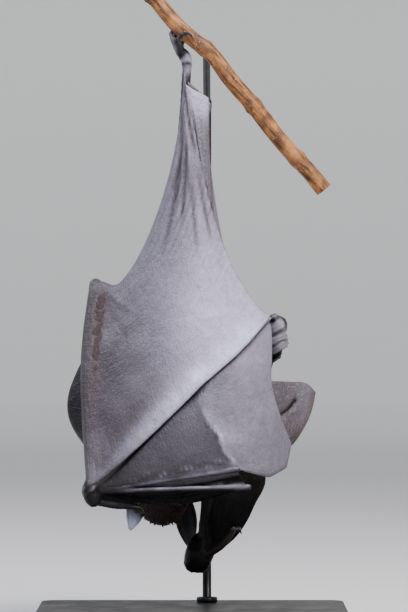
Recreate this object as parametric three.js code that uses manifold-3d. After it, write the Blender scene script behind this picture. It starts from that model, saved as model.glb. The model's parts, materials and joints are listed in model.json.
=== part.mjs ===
// A large flying fox asleep, hanging by its left foot from a cut branch on a display stand.
// Both wings are wrapped round the belly, the left one over the right one, and the head is
// bent forward behind the left finger bundle, with its crown and ears pointing down.
// Millimetres, +Z up. The belly faces -Y and the bat's own left side is towards -X.
// The origin is the middle of the base's underside.
import * as THREE from "three";
import { mergeVertices } from "three/addons/utils/BufferGeometryUtils.js";
import Module from "manifold-3d";

const wasm = await Module();
wasm.setup();

const GAP = 0.34; // clearance between neighbouring solids
const EASE = 0.14; // flatness below which neighbouring facets are merged
const MEMBRANE = 0.9; // thickness of the wing skin
const TIP_THICKNESS = 1.6; // thickness of the folded wing tip
const EAR_THICKNESS = 1.3;
const SHORT_OF_JOINT = 0.055; // share of an upper limb that the lower limb's rounded end takes up
const BRANCH_RADIUS = 6.2;
const BASE = { width: 250, depth: 220, height: 14, corner: 12, bevel: 1.5 };
const POST = { x: 12, y: 84, radius: 3.6, top: 428 };
const ARM = { radius: 3, drop: 5, reach: 0.425 };
const TOE_COUNT = 5;

const point = (x, y, z) => new THREE.Vector3(x, y, z);
const mix = THREE.MathUtils.lerp;

// ---------------------------------------------------------------- landmarks of the body

const TRUNK = [
  // middle of the section, half width and half depth, from the rump down to the neck
  { at: point(-4, 16, 334), wide: 8, deep: 8 },
  { at: point(-5, 14, 322), wide: 16, deep: 16 },
  { at: point(-8, 11, 300), wide: 24, deep: 23 },
  { at: point(-11, 9, 268), wide: 33, deep: 29 },
  { at: point(-15, 8, 232), wide: 39, deep: 33 },
  { at: point(-19, 8, 196), wide: 42, deep: 36 },
  { at: point(-23, 8, 166), wide: 41, deep: 35 },
  { at: point(-26, 8, 146), wide: 32, deep: 30 },
];
const NECK = [
  { at: point(-26, 9, 152), wide: 31, deep: 29 },
  { at: point(-26, 9, 136), wide: 29, deep: 27 },
  { at: point(-24.5, 12, 114), wide: 24, deep: 23 },
];

// The head has a frame of its own: along towards the nose, crown towards the top of the skull.
const HEAD = {
  occiput: point(-24, 31, 98.5),
  along: point(0.02, -0.97, 0.2),
  crown: point(-0.2, -0.19, -0.95),
};
const HEAD_SECTIONS = [
  // distance from the occiput, half width, half height, and shift towards the crown
  { reach: 1, wide: 9, high: 8, lift: 0 },
  { reach: 7, wide: 17, high: 15.5, lift: 0.5 },
  { reach: 18, wide: 21.5, high: 19.5, lift: 1 },
  { reach: 30, wide: 22, high: 20, lift: 1 },
  { reach: 40, wide: 19.5, high: 17.5, lift: -0.5 },
  { reach: 50, wide: 15.5, high: 14, lift: -3 },
  { reach: 60, wide: 11.5, high: 11.5, lift: -4.5 },
  { reach: 70, wide: 9.6, high: 10, lift: -5 },
  { reach: 78, wide: 8.6, high: 8.6, lift: -4.6 },
  { reach: 83, wide: 5.5, high: 5.5, lift: -4 },
];
const EYE = { reach: 46, out: 13.2, lift: 3.2, radius: 5.2 };
const EARS = {
  ear_left: { root: point(-41.5, 5, 106), tip: point(-50.4, 20, 77.6), width: 9.4, hollow: point(-0.5, -0.85, 0) },
  ear_right: { root: point(-7, 6, 98), tip: point(-1, 14, 63), width: 9.4, hollow: point(0.35, -0.92, 0) },
};

const LEFT_WING = {
  name: "wing_left",
  ankle: point(-6, -5, 446),
  shoulder: point(-52, 12, 168),
  elbow: point(-77.5, 33, 272.5),
  wrist: point(-78, -55, 112),
  forearmBow: point(-5, -2, 0),
  foldHandles: [point(-10.5, -4, 345), point(-53, 18, 263)],
  trailingHandles: [point(30, -22, 275), point(11, -14, 330)],
  knuckle5: point(5.6, -66, 196.8),
  joint5: point(39, -52, 224.8),
  tip5: point(62.4, -34, 248),
  knuckle4: point(35.2, -62, 129.6),
  knuckle3: point(44, -57, 115.5),
  frontBulges: [{ by: point(4, -25, 0), u: 0.5, v: 0.5, focus: 1.6 }],
  backBulges: [{ by: point(0, 6, 0), u: 0.5, v: 0.5, focus: 1.6 }],
  shoulderBulges: [{ by: point(-37, 2, 0), u: 0.7, v: 0.4, focus: 4.5 }],
  neckEdge: point(-46, -8, 132),
  thumb: [point(-79, -51, 105), point(-64, -50, 101.5), point(-48, -46, 100)],
  thumbClaw: [point(-46.8, -45.6, 99.8), point(-41, -43, 98.5), point(-37.5, -40, 94)],
  wristPad: point(-0.4, 2.5, 5.5),
  wristRadius: [7, 7.6, 6.6],
  forearmRadius: [6.4, 7.4, 7, 6, 5.4, 5.2],
  grid: [11, 11],
};
const RIGHT_WING = {
  name: "wing_right",
  ankle: point(12, 5, 423),
  shoulder: point(12, 12, 160),
  elbow: point(67.5, 15, 241.5),
  wrist: point(6, -6, 60.5),
  forearmBow: point(1, 3, 0),
  foldHandles: [point(15, 8, 350), point(20, 13, 266)],
  trailingHandles: [point(-18, -24, 270), point(0, -4, 330)],
  knuckle5: point(15, -46, 166),
  joint5: point(-12, -46, 198),
  tip5: point(-36, -38, 224),
  knuckle4: point(21, -45, 168),
  knuckle3: point(27, -42, 162),
  frontBulges: [{ by: point(7, -17, 0), u: 0.5, v: 0.5, focus: 1.6 }],
  flap: [
    point(55, -3, 150),
    point(59, -8, 122),
    point(57.5, -9, 113),
    point(51, -10, 101),
    point(44, -9, 86),
    point(34, -8, 72),
    point(20, -7, 61),
  ],
  backBulges: [{ by: point(-1, 5, 0), u: 0.5, v: 0.5, focus: 1.6 }],
  shoulderBulges: [{ by: point(2, 12, 0), u: 0.5, v: 0.5, focus: 1.6 }],
  neckEdge: point(8, 6, 112),
  thumb: [point(12, -15, 60), point(23, -21, 67), point(32, -21, 79)],
  thumbClaw: [point(32.7, -20.9, 80.3), point(37, -18, 80.5), point(39.5, -13, 76)],
  wristPad: point(1.4, 0.4, 5.5),
  wristRadius: [10.8, 12, 11],
  forearmRadius: [9.8, 7, 6, 5.8, 5.8, 6],
  grid: [8, 9],
};

// The free border of the left hand membrane, from the fifth fingertip down to its lowest corner.
const HAND_EDGE = [
  point(62.4, -34, 248),
  point(63, -33, 222),
  point(63.2, -32, 196),
  point(69, -32, 174),
  point(79, -26, 148),
];
const HAND_FOOT = [point(35.2, -62, 129.6), point(61, -46, 122.4), point(74.4, -35, 129.6), point(79, -26, 148)];
// The wing tip, folded back behind that border.
const TIP_TOP = [point(60, -22, 198), point(78, -10, 197), point(91, -4, 195.4), point(98.4, 0, 188.5)];
const TIP_SIDE = [point(98.4, 0, 188.5), point(95, -4, 174), point(86.6, -12, 157), point(78.5, -22.5, 146)];
const TIP_HIDDEN = [point(60, -22, 198), point(62, -24, 172), point(68, -26, 148)];

const LEGS = {
  left: { hip: point(-14, 10, 306), knee: point(-9, 15, 372), ankle: point(-4, -1, 449) },
  right: { hip: point(1, 10, 304), knee: point(7.5, 22, 364), ankle: point(11, 9, 419) },
};
const BRANCH = [
  point(-46, 5, 524),
  point(-29, 3, 502.5),
  point(-14.5, 1, 485),
  point(0, 0, 471.5),
  point(14, 0, 460.5),
  point(30, 2, 440),
  point(50, 5, 417),
  point(72, 8, 389),
  point(96, 10, 363),
  point(106, 11, 351),
];

// ---------------------------------------------------------------- joining and cutting

// A closed BufferGeometry as a solid for joining and cutting.
function solidOf(geometry) {
  const bare = geometry.index ? geometry.toNonIndexed() : geometry.clone();
  bare.deleteAttribute("normal");
  bare.deleteAttribute("uv");
  const merged = mergeVertices(bare, 1e-4);
  const vertProperties = merged.attributes.position.array;
  const triVerts = new Uint32Array(merged.index.array);
  const made = new wasm.Manifold(new wasm.Mesh({ numProp: 3, vertProperties, triVerts }));
  if (made.volume() > 0) return made;
  const turned = new Uint32Array(triVerts.length);
  for (let i = 0; i < triVerts.length; i += 3) turned.set([triVerts[i], triVerts[i + 2], triVerts[i + 1]], i);
  return new wasm.Manifold(new wasm.Mesh({ numProp: 3, vertProperties, triVerts: turned }));
}

function geometryOf(solid) {
  const mesh = solid.getMesh();
  const position = new Float32Array(mesh.numVert * 3);
  for (let i = 0; i < mesh.numVert; i++) {
    position.set(mesh.vertProperties.subarray(i * mesh.numProp, i * mesh.numProp + 3), i * 3);
  }
  return new THREE.BufferGeometry()
    .setAttribute("position", new THREE.BufferAttribute(position, 3))
    .setIndex(new THREE.BufferAttribute(mesh.triVerts, 1));
}

// The largest body of a solid: a cut can leave crumbs beside it.
function largest(solid) {
  return solid.decompose().reduce((a, b) => (a.volume() > b.volume() ? a : b));
}

// ---------------------------------------------------------------- shapes

// Closes a stack of rings, each with the same number of points, into one body.
function stack(rings) {
  const sides = rings[0].length;
  const position = rings.flat().flatMap((p) => [p.x, p.y, p.z]);
  const index = [];
  for (let r = 0; r + 1 < rings.length; r++) {
    for (let k = 0; k < sides; k++) {
      const a = r * sides + k;
      const b = r * sides + ((k + 1) % sides);
      index.push(a, b, b + sides, a, b + sides, a + sides);
    }
  }
  for (const [ring, first, inward] of [
    [rings[0], 0, true],
    [rings[rings.length - 1], (rings.length - 1) * sides, false],
  ]) {
    const middle = ring.reduce((sum, p) => sum.add(p), point(0, 0, 0)).divideScalar(sides);
    const centre = position.length / 3;
    position.push(middle.x, middle.y, middle.z);
    for (let k = 0; k < sides; k++) {
      const a = first + k;
      const b = first + ((k + 1) % sides);
      index.push(...(inward ? [centre, b, a] : [centre, a, b]));
    }
  }
  return new THREE.BufferGeometry()
    .setAttribute("position", new THREE.Float32BufferAttribute(position, 3))
    .setIndex(index);
}

// A limb along a curve, with a radius for each share of its length and rounded or flat ends.
function limb(curve, radiusAt, { steps = 10, sides = 10, round = true } = {}) {
  const frames = curve.computeFrenetFrames(steps, false);
  const ring = (t, k, radius, push = 0) => {
    const middle = curve.getPointAt(t).addScaledVector(frames.tangents[k], push);
    return Array.from({ length: sides }, (_, i) => {
      const turn = (i / sides) * 2 * Math.PI;
      return middle
        .clone()
        .addScaledVector(frames.normals[k], Math.cos(turn) * radius)
        .addScaledVector(frames.binormals[k], Math.sin(turn) * radius);
    });
  };
  const rings = Array.from({ length: steps + 1 }, (_, k) => ring(k / steps, k, radiusAt(k / steps)));
  if (round) {
    for (const lean of [0.5, 0.85]) {
      const shrink = Math.sqrt(1 - lean * lean);
      rings.unshift(ring(0, 0, radiusAt(0) * shrink, -radiusAt(0) * lean));
      rings.push(ring(1, steps, radiusAt(1) * shrink, radiusAt(1) * lean));
    }
  }
  return solidOf(stack(rings));
}

// A radius that runs evenly through the values given.
const taper = (...values) => (t) => {
  const spot = Math.min(t, 0.9999) * (values.length - 1);
  return mix(values[Math.floor(spot)], values[Math.floor(spot) + 1], spot % 1);
};

const grown = (radiusAt, grow) => (t) => radiusAt(t) + grow;
const line = (...points) =>
  points.length === 2 ? new THREE.LineCurve3(...points) : new THREE.CatmullRomCurve3(points, false, "centripetal");

// A body of elliptical sections across Z, closed at both ends.
function sections(list, grow, sides = 16) {
  const rings = list.map(({ at, wide, deep }) =>
    Array.from({ length: sides }, (_, i) => {
      const turn = (i / sides) * 2 * Math.PI;
      return point(at.x + Math.cos(turn) * (wide + grow), at.y + Math.sin(turn) * (deep + grow), at.z);
    }),
  );
  const ends = [
    list[0].at.clone().add(point(0, 0, 4 + grow)),
    list[list.length - 1].at.clone().add(point(0, 0, -grow)),
  ];
  rings.unshift(rings[0].map((p) => p.clone().lerp(list[0].at, 0.5).setZ(ends[0].z)));
  rings[rings.length - 1].forEach((p) => p.setZ(ends[1].z));
  return solidOf(stack(rings));
}

// A hump over 0..1 that is 0 at both ends and 1 at its peak; a higher focus makes it narrower.
const hump = (t, peak, focus) => Math.pow((t / peak) ** peak * ((1 - t) / (1 - peak)) ** (1 - peak), focus);

// A smooth patch between four edges: low and high run along u, first and last along v.
function patch(low, high, first, last, bulges) {
  const corners = [low(0), low(1), high(0), high(1)];
  return (u, v) => {
    const across = low(u).multiplyScalar(1 - v).addScaledVector(high(u), v);
    const along = first(v).multiplyScalar(1 - u).addScaledVector(last(v), u);
    const flat = corners[0].clone().multiplyScalar((1 - u) * (1 - v));
    flat.addScaledVector(corners[1], u * (1 - v)).addScaledVector(corners[2], (1 - u) * v);
    flat.addScaledVector(corners[3], u * v);
    const surface = across.add(along).sub(flat);
    for (const { by, u: peakU, v: peakV, focus } of bulges) {
      surface.addScaledVector(by, hump(u, peakU, focus) * hump(v, peakV, focus));
    }
    return surface;
  };
}

// A thin closed sheet over a patch, grown all round. It starts a little way in, since some
// patches open from a point.
function sheet(surface, thickness, grow, across, down, start = 0.004) {
  const rows = [];
  for (let j = 0; j <= down; j++) {
    const v = j / down;
    const front = [];
    const back = [];
    for (let i = 0; i <= across; i++) {
      const u = mix(start, 1, i / across);
      const du = surface(Math.min(u + 1 / across, 1), v).sub(surface(Math.max(u - 1 / across, start), v));
      const dv = surface(u, Math.min(v + 1 / down, 1)).sub(surface(u, Math.max(v - 1 / down, 0)));
      const offset = du.clone().cross(dv).setLength(thickness / 2 + grow);
      const place = surface(u, v);
      place.addScaledVector(du.normalize(), grow * ((i === across) - (i === 0)));
      place.addScaledVector(dv.normalize(), grow * ((j === down) - (j === 0)));
      front.push(place.clone().add(offset));
      back.unshift(place.sub(offset));
    }
    rows.push([...front, ...back]);
  }
  return joinCells(rows, across);
}

// The sheet as one body. Each cell is the hull of its four front and four back points, so a
// sharp fold never turns the surface inside out.
function joinCells(rows, across) {
  const corners = (row, i) => [i, i + 1, 2 * across - i, 2 * across + 1 - i].map((k) => row[k].toArray());
  const cells = [];
  for (let j = 0; j + 1 < rows.length; j++) {
    for (let i = 0; i < across; i++) {
      cells.push(wasm.Manifold.hull([...corners(rows[j], i), ...corners(rows[j + 1], i)]));
    }
  }
  return wasm.Manifold.union(cells);
}

// ---------------------------------------------------------------- edges of the wings

const curveEdge = (curve) => (t) => curve.getPoint(t);
const bezierEdge = (from, [a, b], to) => curveEdge(new THREE.CubicBezierCurve3(from, a, b, to));
const arcEdge = (points) => curveEdge(line(...points));

// Straight stretches that meet at the shares given, so that a joint keeps its corner.
const jointedEdge = (points, shares) => (t) => {
  const next = shares.findIndex((share, k) => k > 0 && (t <= share || k === shares.length - 1));
  const local = (t - shares[next - 1]) / (shares[next] - shares[next - 1]);
  return points[next - 1].clone().lerp(points[next], local);
};

const FINGER_SHARES = [0, 0.56, 0.8, 1];

function forearmCurve(wing) {
  const bow = wing.elbow.clone().lerp(wing.wrist, 0.45).add(wing.forearmBow);
  return line(wing.elbow, bow, wing.wrist);
}

const armEdge = (wing) => curveEdge(forearmCurve(wing));
const foldEdge = (wing) => bezierEdge(wing.ankle, wing.foldHandles, wing.elbow);
const digitEdge = (wing) => jointedEdge([wing.wrist, wing.knuckle5, wing.joint5, wing.tip5], FINGER_SHARES);
const trailingEdge = (wing) => bezierEdge(wing.tip5, wing.trailingHandles, wing.ankle);
const reversed = (edge) => (t) => edge(1 - t);

// ---------------------------------------------------------------- parts of a wing

const limbs = {
  upper_arm: (wing) => [
    line(wing.shoulder, wing.elbow.clone().lerp(wing.shoulder, SHORT_OF_JOINT)),
    taper(14, 12, 8.6, 6.6),
    { steps: 4, sides: 10, round: false },
  ],
  forearm: (wing) => [forearmCurve(wing), taper(...wing.forearmRadius), { steps: 7, sides: 10 }],
  thumb: (wing) => [line(...wing.thumb), taper(3.8, 3.2, 2.9), { steps: 4, sides: 7 }],
  thumb_claw: (wing) => [line(...wing.thumbClaw), taper(2.6, 2.2, 1.3, 0.35), { steps: 4, sides: 7, round: false }],
  digit_3: (wing) => [line(wing.wrist, wing.knuckle3), taper(3.6, 2.5, 2.2, 3), { steps: 3, sides: 7 }],
  digit_4: (wing) => [line(wing.wrist, wing.knuckle4), taper(3.6, 2.4, 2.1, 2.9), { steps: 3, sides: 7 }],
  metacarpal_5: (wing) => [line(wing.wrist, wing.knuckle5), taper(3.6, 2.6, 2.3, 3.1), { steps: 3, sides: 7 }],
  fingertip_5: (wing) => [
    line(wing.knuckle5, wing.joint5, wing.tip5),
    taper(2.4, 1.7, 2.2, 1.4, 0.9),
    { steps: 6, sides: 7 },
  ],
};

// The folded carpal bones and the skin bunched round them, a blunt pad at the end of the forearm.
function carpus(wing, grow) {
  const reach = wing.wristPad;
  const path = line(wing.wrist.clone().sub(reach), wing.wrist, wing.wrist.clone().add(reach));
  return limb(path, grown(taper(...wing.wristRadius), grow), { steps: 2, sides: 11 });
}

// The skin from the flank out to the fold, and from the fold round the belly to the fifth finger.
const BACK_ROWS = 3;
function bodyMembrane(wing, flank, grow) {
  const front = patch(
    foldEdge(wing),
    reversed(digitEdge(wing)),
    reversed(trailingEdge(wing)),
    armEdge(wing),
    wing.frontBulges,
  );
  const armpit = wing.elbow.clone().lerp(wing.shoulder, 0.94);
  const back = patch(
    foldEdge(wing),
    arcEdge(flank),
    (v) => wing.ankle.clone().lerp(flank[0], v),
    (v) => wing.elbow.clone().lerp(armpit, v),
    wing.backBulges,
  );
  const [across, down] = wing.grid;
  const atFold = BACK_ROWS / (BACK_ROWS + down);
  const surface = (u, v) => (v < atFold ? back(u, 1 - v / atFold) : front(u, (v - atFold) / (1 - atFold)));
  const whole = sheet(surface, MEMBRANE, grow, across, BACK_ROWS + down);
  if (!wing.flap) return whole;

  // A loose flap hangs beside the forearm, from a line a little way in from it.
  const root = (t) => front(0.84, mix(0.42, 0.96, t));
  const rim = arcEdge(wing.flap);
  const flap = patch(root, rim, (v) => root(0).lerp(rim(0), v), (v) => root(1).lerp(rim(1), v), []);
  return whole.add(sheet(flap, MEMBRANE, grow, 8, 4));
}

// The skin in front of the arm, from the shoulder across the elbow's bend to the wrist.
function shoulderMembrane(wing, grow) {
  const upperArm = (t) => wing.elbow.clone().lerp(wing.shoulder, t);
  const surface = patch(
    armEdge(wing),
    upperArm,
    (v) => wing.elbow.clone().lerp(upperArm(0), v),
    arcEdge([wing.wrist, wing.neckEdge, wing.shoulder]),
    wing.shoulderBulges,
  );
  return sheet(surface, MEMBRANE, grow, 8, 4, 0.03);
}

const leftHand = patch(
  digitEdge(LEFT_WING),
  jointedEdge([LEFT_WING.wrist, ...HAND_FOOT], [0, 0.56, 0.76, 0.88, 1]),
  () => LEFT_WING.wrist.clone(),
  arcEdge(HAND_EDGE),
  [{ by: point(2, -7, 0), u: 0.5, v: 0.5, focus: 1.6 }],
);
const rightHand = patch(
  digitEdge(RIGHT_WING),
  jointedEdge([RIGHT_WING.wrist, RIGHT_WING.knuckle3, point(4, -41, 180), point(-24, -38, 186)], FINGER_SHARES),
  () => RIGHT_WING.wrist.clone(),
  arcEdge([RIGHT_WING.tip5, point(-33, -39, 205), point(-24, -38, 186)]),
  [{ by: point(0, -2, 0), u: 0.5, v: 0.5, focus: 1.6 }],
);
const leftTip = patch(
  arcEdge(TIP_TOP),
  arcEdge([TIP_HIDDEN[2], TIP_SIDE[3]]),
  arcEdge(TIP_HIDDEN),
  arcEdge(TIP_SIDE),
  [{ by: point(0, -2, 0), u: 0.5, v: 0.5, focus: 1.6 }],
);

// The third metacarpal's line with the folded skin sagging below it.
const FOLD_SAG = point(0, 6, -13);
const foldRim = (wing) => (t) =>
  wing.wrist.clone().lerp(wing.knuckle3, t).addScaledVector(FOLD_SAG, Math.sin(Math.PI * Math.min(t, 0.98)));

// The skin folded between the third and fourth metacarpals: a shallow trough across the bundle.
function fingerFold(wing, grow) {
  const low = (t) => wing.wrist.clone().lerp(wing.knuckle4, t);
  const high = foldRim(wing);
  const bulges = [{ by: point(0, 3, 0), u: 0.5, v: 0.5, focus: 1.6 }];
  const surface = patch(low, high, (v) => low(0).lerp(high(0), v), (v) => low(1).lerp(high(1), v), bulges);
  return sheet(surface, MEMBRANE, grow, 5, 2);
}

// The small web between the thumb and that fold.
function thumbWeb(wing, grow) {
  const thumb = line(...wing.thumb);
  const rim = foldRim(wing);
  const low = (t) => thumb.getPoint(mix(0.15, 0.95, t));
  const high = (t) => rim(mix(0.05, 0.3, t));
  const surface = patch(low, high, (v) => low(0).lerp(high(0), v), (v) => low(1).lerp(high(1), v), []);
  return sheet(surface, MEMBRANE, grow, 5, 3);
}

// The skin between the two legs, held out by a spur at each heel.
function tailMembrane(grow) {
  const leftHeel = LEGS.left.ankle.clone().add(point(1, -3, -12));
  const rightHeel = LEGS.right.ankle.clone().add(point(1, -5, 5));
  const rump = point(-4, 20, 330);
  const surface = patch(
    (t) => leftHeel.clone().lerp(rightHeel, t),
    (t) => rump.clone().add(point(mix(-4, 4, t), 0, 0)),
    arcEdge([leftHeel, LEGS.left.knee, rump.clone().add(point(-4, 0, 0))]),
    arcEdge([rightHeel, LEGS.right.knee.clone().add(point(3, 0, 0)), rump.clone().add(point(4, 0, 0))]),
    [{ by: point(0, -2, 0), u: 0.5, v: 0.5, focus: 1.6 }],
  );
  return sheet(surface, MEMBRANE, grow, 3, 5);
}

// ---------------------------------------------------------------- head

const headFrame = (() => {
  const along = HEAD.along.clone().normalize();
  const side = HEAD.crown.clone().cross(along).normalize();
  const crown = along.clone().cross(side).normalize();
  return { along, side, crown };
})();
const inHead = (reach, out, lift) =>
  HEAD.occiput
    .clone()
    .addScaledVector(headFrame.along, reach)
    .addScaledVector(headFrame.side, out)
    .addScaledVector(headFrame.crown, lift);

function head(grow) {
  const sides = 16;
  const rings = HEAD_SECTIONS.map(({ reach, wide, high, lift }) =>
    Array.from({ length: sides }, (_, i) => {
      const turn = (i / sides) * 2 * Math.PI;
      return inHead(reach, Math.cos(turn) * (wide + grow), lift + Math.sin(turn) * (high + grow));
    }),
  );
  return solidOf(stack(rings));
}

function eye(hand, grow) {
  const ball = new THREE.SphereGeometry(EYE.radius + grow, 10, 6);
  const middle = inHead(EYE.reach, hand * EYE.out, EYE.lift);
  return solidOf(ball.translate(middle.x, middle.y, middle.z));
}

// An ear is a pointed leaf of skin, cupped towards its hollow side.
function ear({ root, tip, width, hollow }, grow) {
  const length = tip.clone().sub(root);
  const side = length.clone().cross(hollow).normalize();
  const deep = hollow.clone().normalize();
  const surface = (u, v) => {
    const half = width * Math.pow(Math.sin(Math.PI * mix(0.3, 0.995, v)), 0.8);
    const turn = mix(-1.15, 1.15, u);
    return root
      .clone()
      .addScaledVector(length, v)
      .addScaledVector(side, Math.sin(turn) * half)
      .addScaledVector(deep, (Math.cos(turn) - 0.6) * -half * 0.8);
  };
  return sheet(surface, EAR_THICKNESS, grow, 6, 6);
}

// ---------------------------------------------------------------- legs and feet

const thigh = ({ hip, knee }, grow) =>
  limb(line(hip, knee.clone().lerp(hip, SHORT_OF_JOINT)), grown(taper(15, 11.5, 7.5, 6), grow), {
    steps: 3,
    sides: 8,
    round: false,
  });
const shank = ({ knee, ankle }, grow) =>
  limb(line(knee, ankle), grown(taper(5.8, 4.4, 3.6, 3.9), grow), { steps: 4, sides: 8 });

const branchCurve = new THREE.CatmullRomCurve3(BRANCH, false, "centripetal");
const gripDirection = BRANCH[4].clone().sub(BRANCH[2]).normalize();
const gripUp = point(0, -1, 0).cross(gripDirection).normalize();

// A path round the branch beside a toe of the left foot. The turn is 0 under the branch and
// 90 degrees on its far side; a negative turn runs up the near side.
function grip(along, from, to, clearance) {
  const middle = BRANCH[3].clone().add(point(-6.7, 0, 6.5)).addScaledVector(gripDirection, along);
  const steps = 4;
  return Array.from({ length: steps + 1 }, (_, k) => {
    const turn = THREE.MathUtils.degToRad(mix(from, to, k / steps));
    return middle
      .clone()
      .addScaledVector(point(0, 1, 0), Math.sin(turn) * (BRANCH_RADIUS + clearance))
      .addScaledVector(gripUp, -Math.cos(turn) * (BRANCH_RADIUS + clearance));
  });
}

// Four toes pass behind the branch. The fifth grips its near side, with the claw laid along it.
const NEAR_TOE = 4;
const toeStep = 3.8;
const soleEnd = point(-9, 2.5, 461.5);
function leftToe(index) {
  const start = soleEnd.clone().add(point((index - 2) * 1.1, 0, -2));
  if (index === NEAR_TOE) return [start, ...grip(toeStep * 0.4, -25, -62, 2.4)];
  return [start, ...grip((index - 1.6) * toeStep, 12, 96, 2.4)];
}
function leftClaw(index) {
  if (index !== NEAR_TOE) return grip((index - 1.6) * toeStep, 101, 170, 2.2);
  const [from] = grip(toeStep * 0.4, -66, -66, 2.3);
  const [over] = grip(toeStep * 1.4, -92, -92, 2.3);
  const [to] = grip(toeStep * 3, -84, -84, 1.9);
  return [from, over, to];
}

// A toe of the free right foot: it hangs relaxed behind the ankle.
const rightToe = (index) => {
  const spread = (index - 2) * 2.9;
  return [
    point(9 + spread * 0.3, 15, 414),
    point(8 + spread * 0.7, 22, 410),
    point(6.5 + spread, 27, 401),
    point(6 + spread, 29, 390),
  ];
};
const rightClaw = (index) => {
  const last = rightToe(index)[3];
  return [last.clone().add(point(0, 0.1, -1)), last.clone().add(point(0, -0.6, -5)), last.clone().add(point(0, -4.6, -9))];
};

// The five toes of a foot and the sole that they grow from, as one body.
function foot(toeAt, heel, grow) {
  let made = limb(line(...heel), grown(taper(4.2, 4.6, 4.8), grow), { steps: 3, sides: 9 });
  for (let index = 0; index < TOE_COUNT; index++) {
    const toe = limb(line(...toeAt(index)), grown(taper(2, 1.9, 1.75, 1.6), grow), { steps: 4, sides: 5, round: false });
    made = made.add(toe);
  }
  return made;
}

const claw = (path, grow) =>
  limb(line(...path), grown(taper(1.5, 1.35, 0.95, 0.3), grow), { steps: 3, sides: 5, round: false });

// ---------------------------------------------------------------- perch and stand

// Growth rings and old leaf scars swell the branch at a few places along it.
const branchRadius = (t) => {
  const scars = [0.1, 0.36, 0.62, 0.86];
  const swell = scars.reduce((sum, scar) => sum + Math.exp(-(((t - scar) / 0.018) ** 2)), 0);
  return BRANCH_RADIUS + 0.8 * swell + 0.4 * t;
};
const branch = (grow) => limb(branchCurve, grown(branchRadius, grow), { steps: 26, sides: 9, round: false });

function standBase(grow) {
  const { width, depth, height, corner, bevel } = BASE;
  const [x, y] = [width / 2 - bevel, depth / 2 - bevel];
  const outline = new THREE.Shape();
  outline.moveTo(-x + corner, -y);
  for (const [sx, sy] of [
    [1, -1],
    [1, 1],
    [-1, 1],
    [-1, -1],
  ]) {
    const from = Math.atan2(sy, sx) - Math.PI / 4;
    outline.absarc(sx * (x - corner), sy * (y - corner), corner, from, from + Math.PI / 2);
  }
  const slab = new THREE.ExtrudeGeometry(outline, {
    depth: height - 2 * bevel,
    bevelThickness: bevel,
    bevelSize: bevel,
    bevelSegments: 1,
    curveSegments: 3,
  });
  return solidOf(slab.translate(0, 0, bevel + grow));
}

function standPost(grow) {
  const foot = BASE.height + GAP - grow;
  const rod = new THREE.CylinderGeometry(POST.radius + grow, POST.radius + grow, POST.top - foot, 20);
  return solidOf(rod.rotateX(Math.PI / 2).translate(POST.x, POST.y, (POST.top + foot) / 2));
}

function standArm(grow) {
  const from = point(POST.x, POST.y, POST.top - ARM.drop);
  const path = line(from, branchCurve.getPoint(ARM.reach));
  return limb(path, grown(() => ARM.radius, grow), { steps: 1, sides: 14, round: false });
}

// ---------------------------------------------------------------- the whole, most important solid first

const SKIN = { color: 0x6d696c, roughness: 0.5, metalness: 0 };
const DARK_SKIN = { color: 0x2b2829, roughness: 0.55, metalness: 0 };
const FUR = { color: 0x2a1a12, roughness: 0.85, metalness: 0 };
const CLAW = { color: 0x15130f, roughness: 0.3, metalness: 0 };
const EYEBALL = { color: 0x3a1c0a, roughness: 0.08, metalness: 0 };
const BARK = { color: 0x7a5334, roughness: 0.8, metalness: 0 };
const STEEL = { color: 0x26282a, roughness: 0.45, metalness: 0.6 };
const LACQUER = { color: 0x2c2a28, roughness: 0.5, metalness: 0 };

const flankLeft = [LEGS.left.ankle, point(-13, 14, 372), point(-32, 16, 300), point(-44, 14, 240), LEFT_WING.shoulder];
const flankRight = [LEGS.right.ankle, point(11, 18, 364), point(14, 20, 300), point(21, 16, 240), RIGHT_WING.shoulder];

const order = [
  ["perch_branch", BARK, branch],
  ["stand_base", LACQUER, standBase],
  ["stand_post", STEEL, standPost],
  ["stand_arm", STEEL, standArm],
  ["eye_left", EYEBALL, (grow) => eye(1, grow)],
  ["eye_right", EYEBALL, (grow) => eye(-1, grow)],
];
for (let index = 0; index < TOE_COUNT; index++) {
  order.push([`foot_left_claw_${index + 1}`, CLAW, (grow) => claw(leftClaw(index), grow)]);
  order.push([`foot_right_claw_${index + 1}`, CLAW, (grow) => claw(rightClaw(index), grow)]);
}
const { left, right } = LEGS;
order.push(
  ["foot_left", DARK_SKIN, (grow) => foot(leftToe, [left.ankle, point(-4.5, 0, 455), soleEnd], grow)],
  ["foot_right", DARK_SKIN, (grow) => foot(rightToe, [right.ankle, point(10.4, 14, 416.5), point(9, 20, 411)], grow)],
  ["leg_left_shank", DARK_SKIN, (grow) => shank(left, grow)],
  ["leg_right_shank", DARK_SKIN, (grow) => shank(right, grow)],
  ["head", FUR, head],
  ["ear_left", DARK_SKIN, (grow) => ear(EARS.ear_left, grow)],
  ["ear_right", DARK_SKIN, (grow) => ear(EARS.ear_right, grow)],
  ["neck", FUR, (grow) => sections(NECK, grow)],
  ["trunk", FUR, (grow) => sections(TRUNK, grow)],
  ["leg_left_thigh", FUR, (grow) => thigh(left, grow)],
  ["leg_right_thigh", FUR, (grow) => thigh(right, grow)],
);
for (const wing of [LEFT_WING, RIGHT_WING]) {
  const bone = (kind) => (grow) => {
    const [curve, radius, options] = limbs[kind](wing);
    return limb(curve, grown(radius, grow), options);
  };
  order.push([`${wing.name}_thumb_claw`, CLAW, bone("thumb_claw")]);
  order.push([`${wing.name}_wrist`, DARK_SKIN, (grow) => carpus(wing, grow)]);
  for (const kind of ["thumb", "forearm", "upper_arm", "metacarpal_5", "fingertip_5", "digit_4", "digit_3"]) {
    order.push([`${wing.name}_${kind}`, kind === "upper_arm" ? FUR : DARK_SKIN, bone(kind)]);
  }
}
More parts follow.
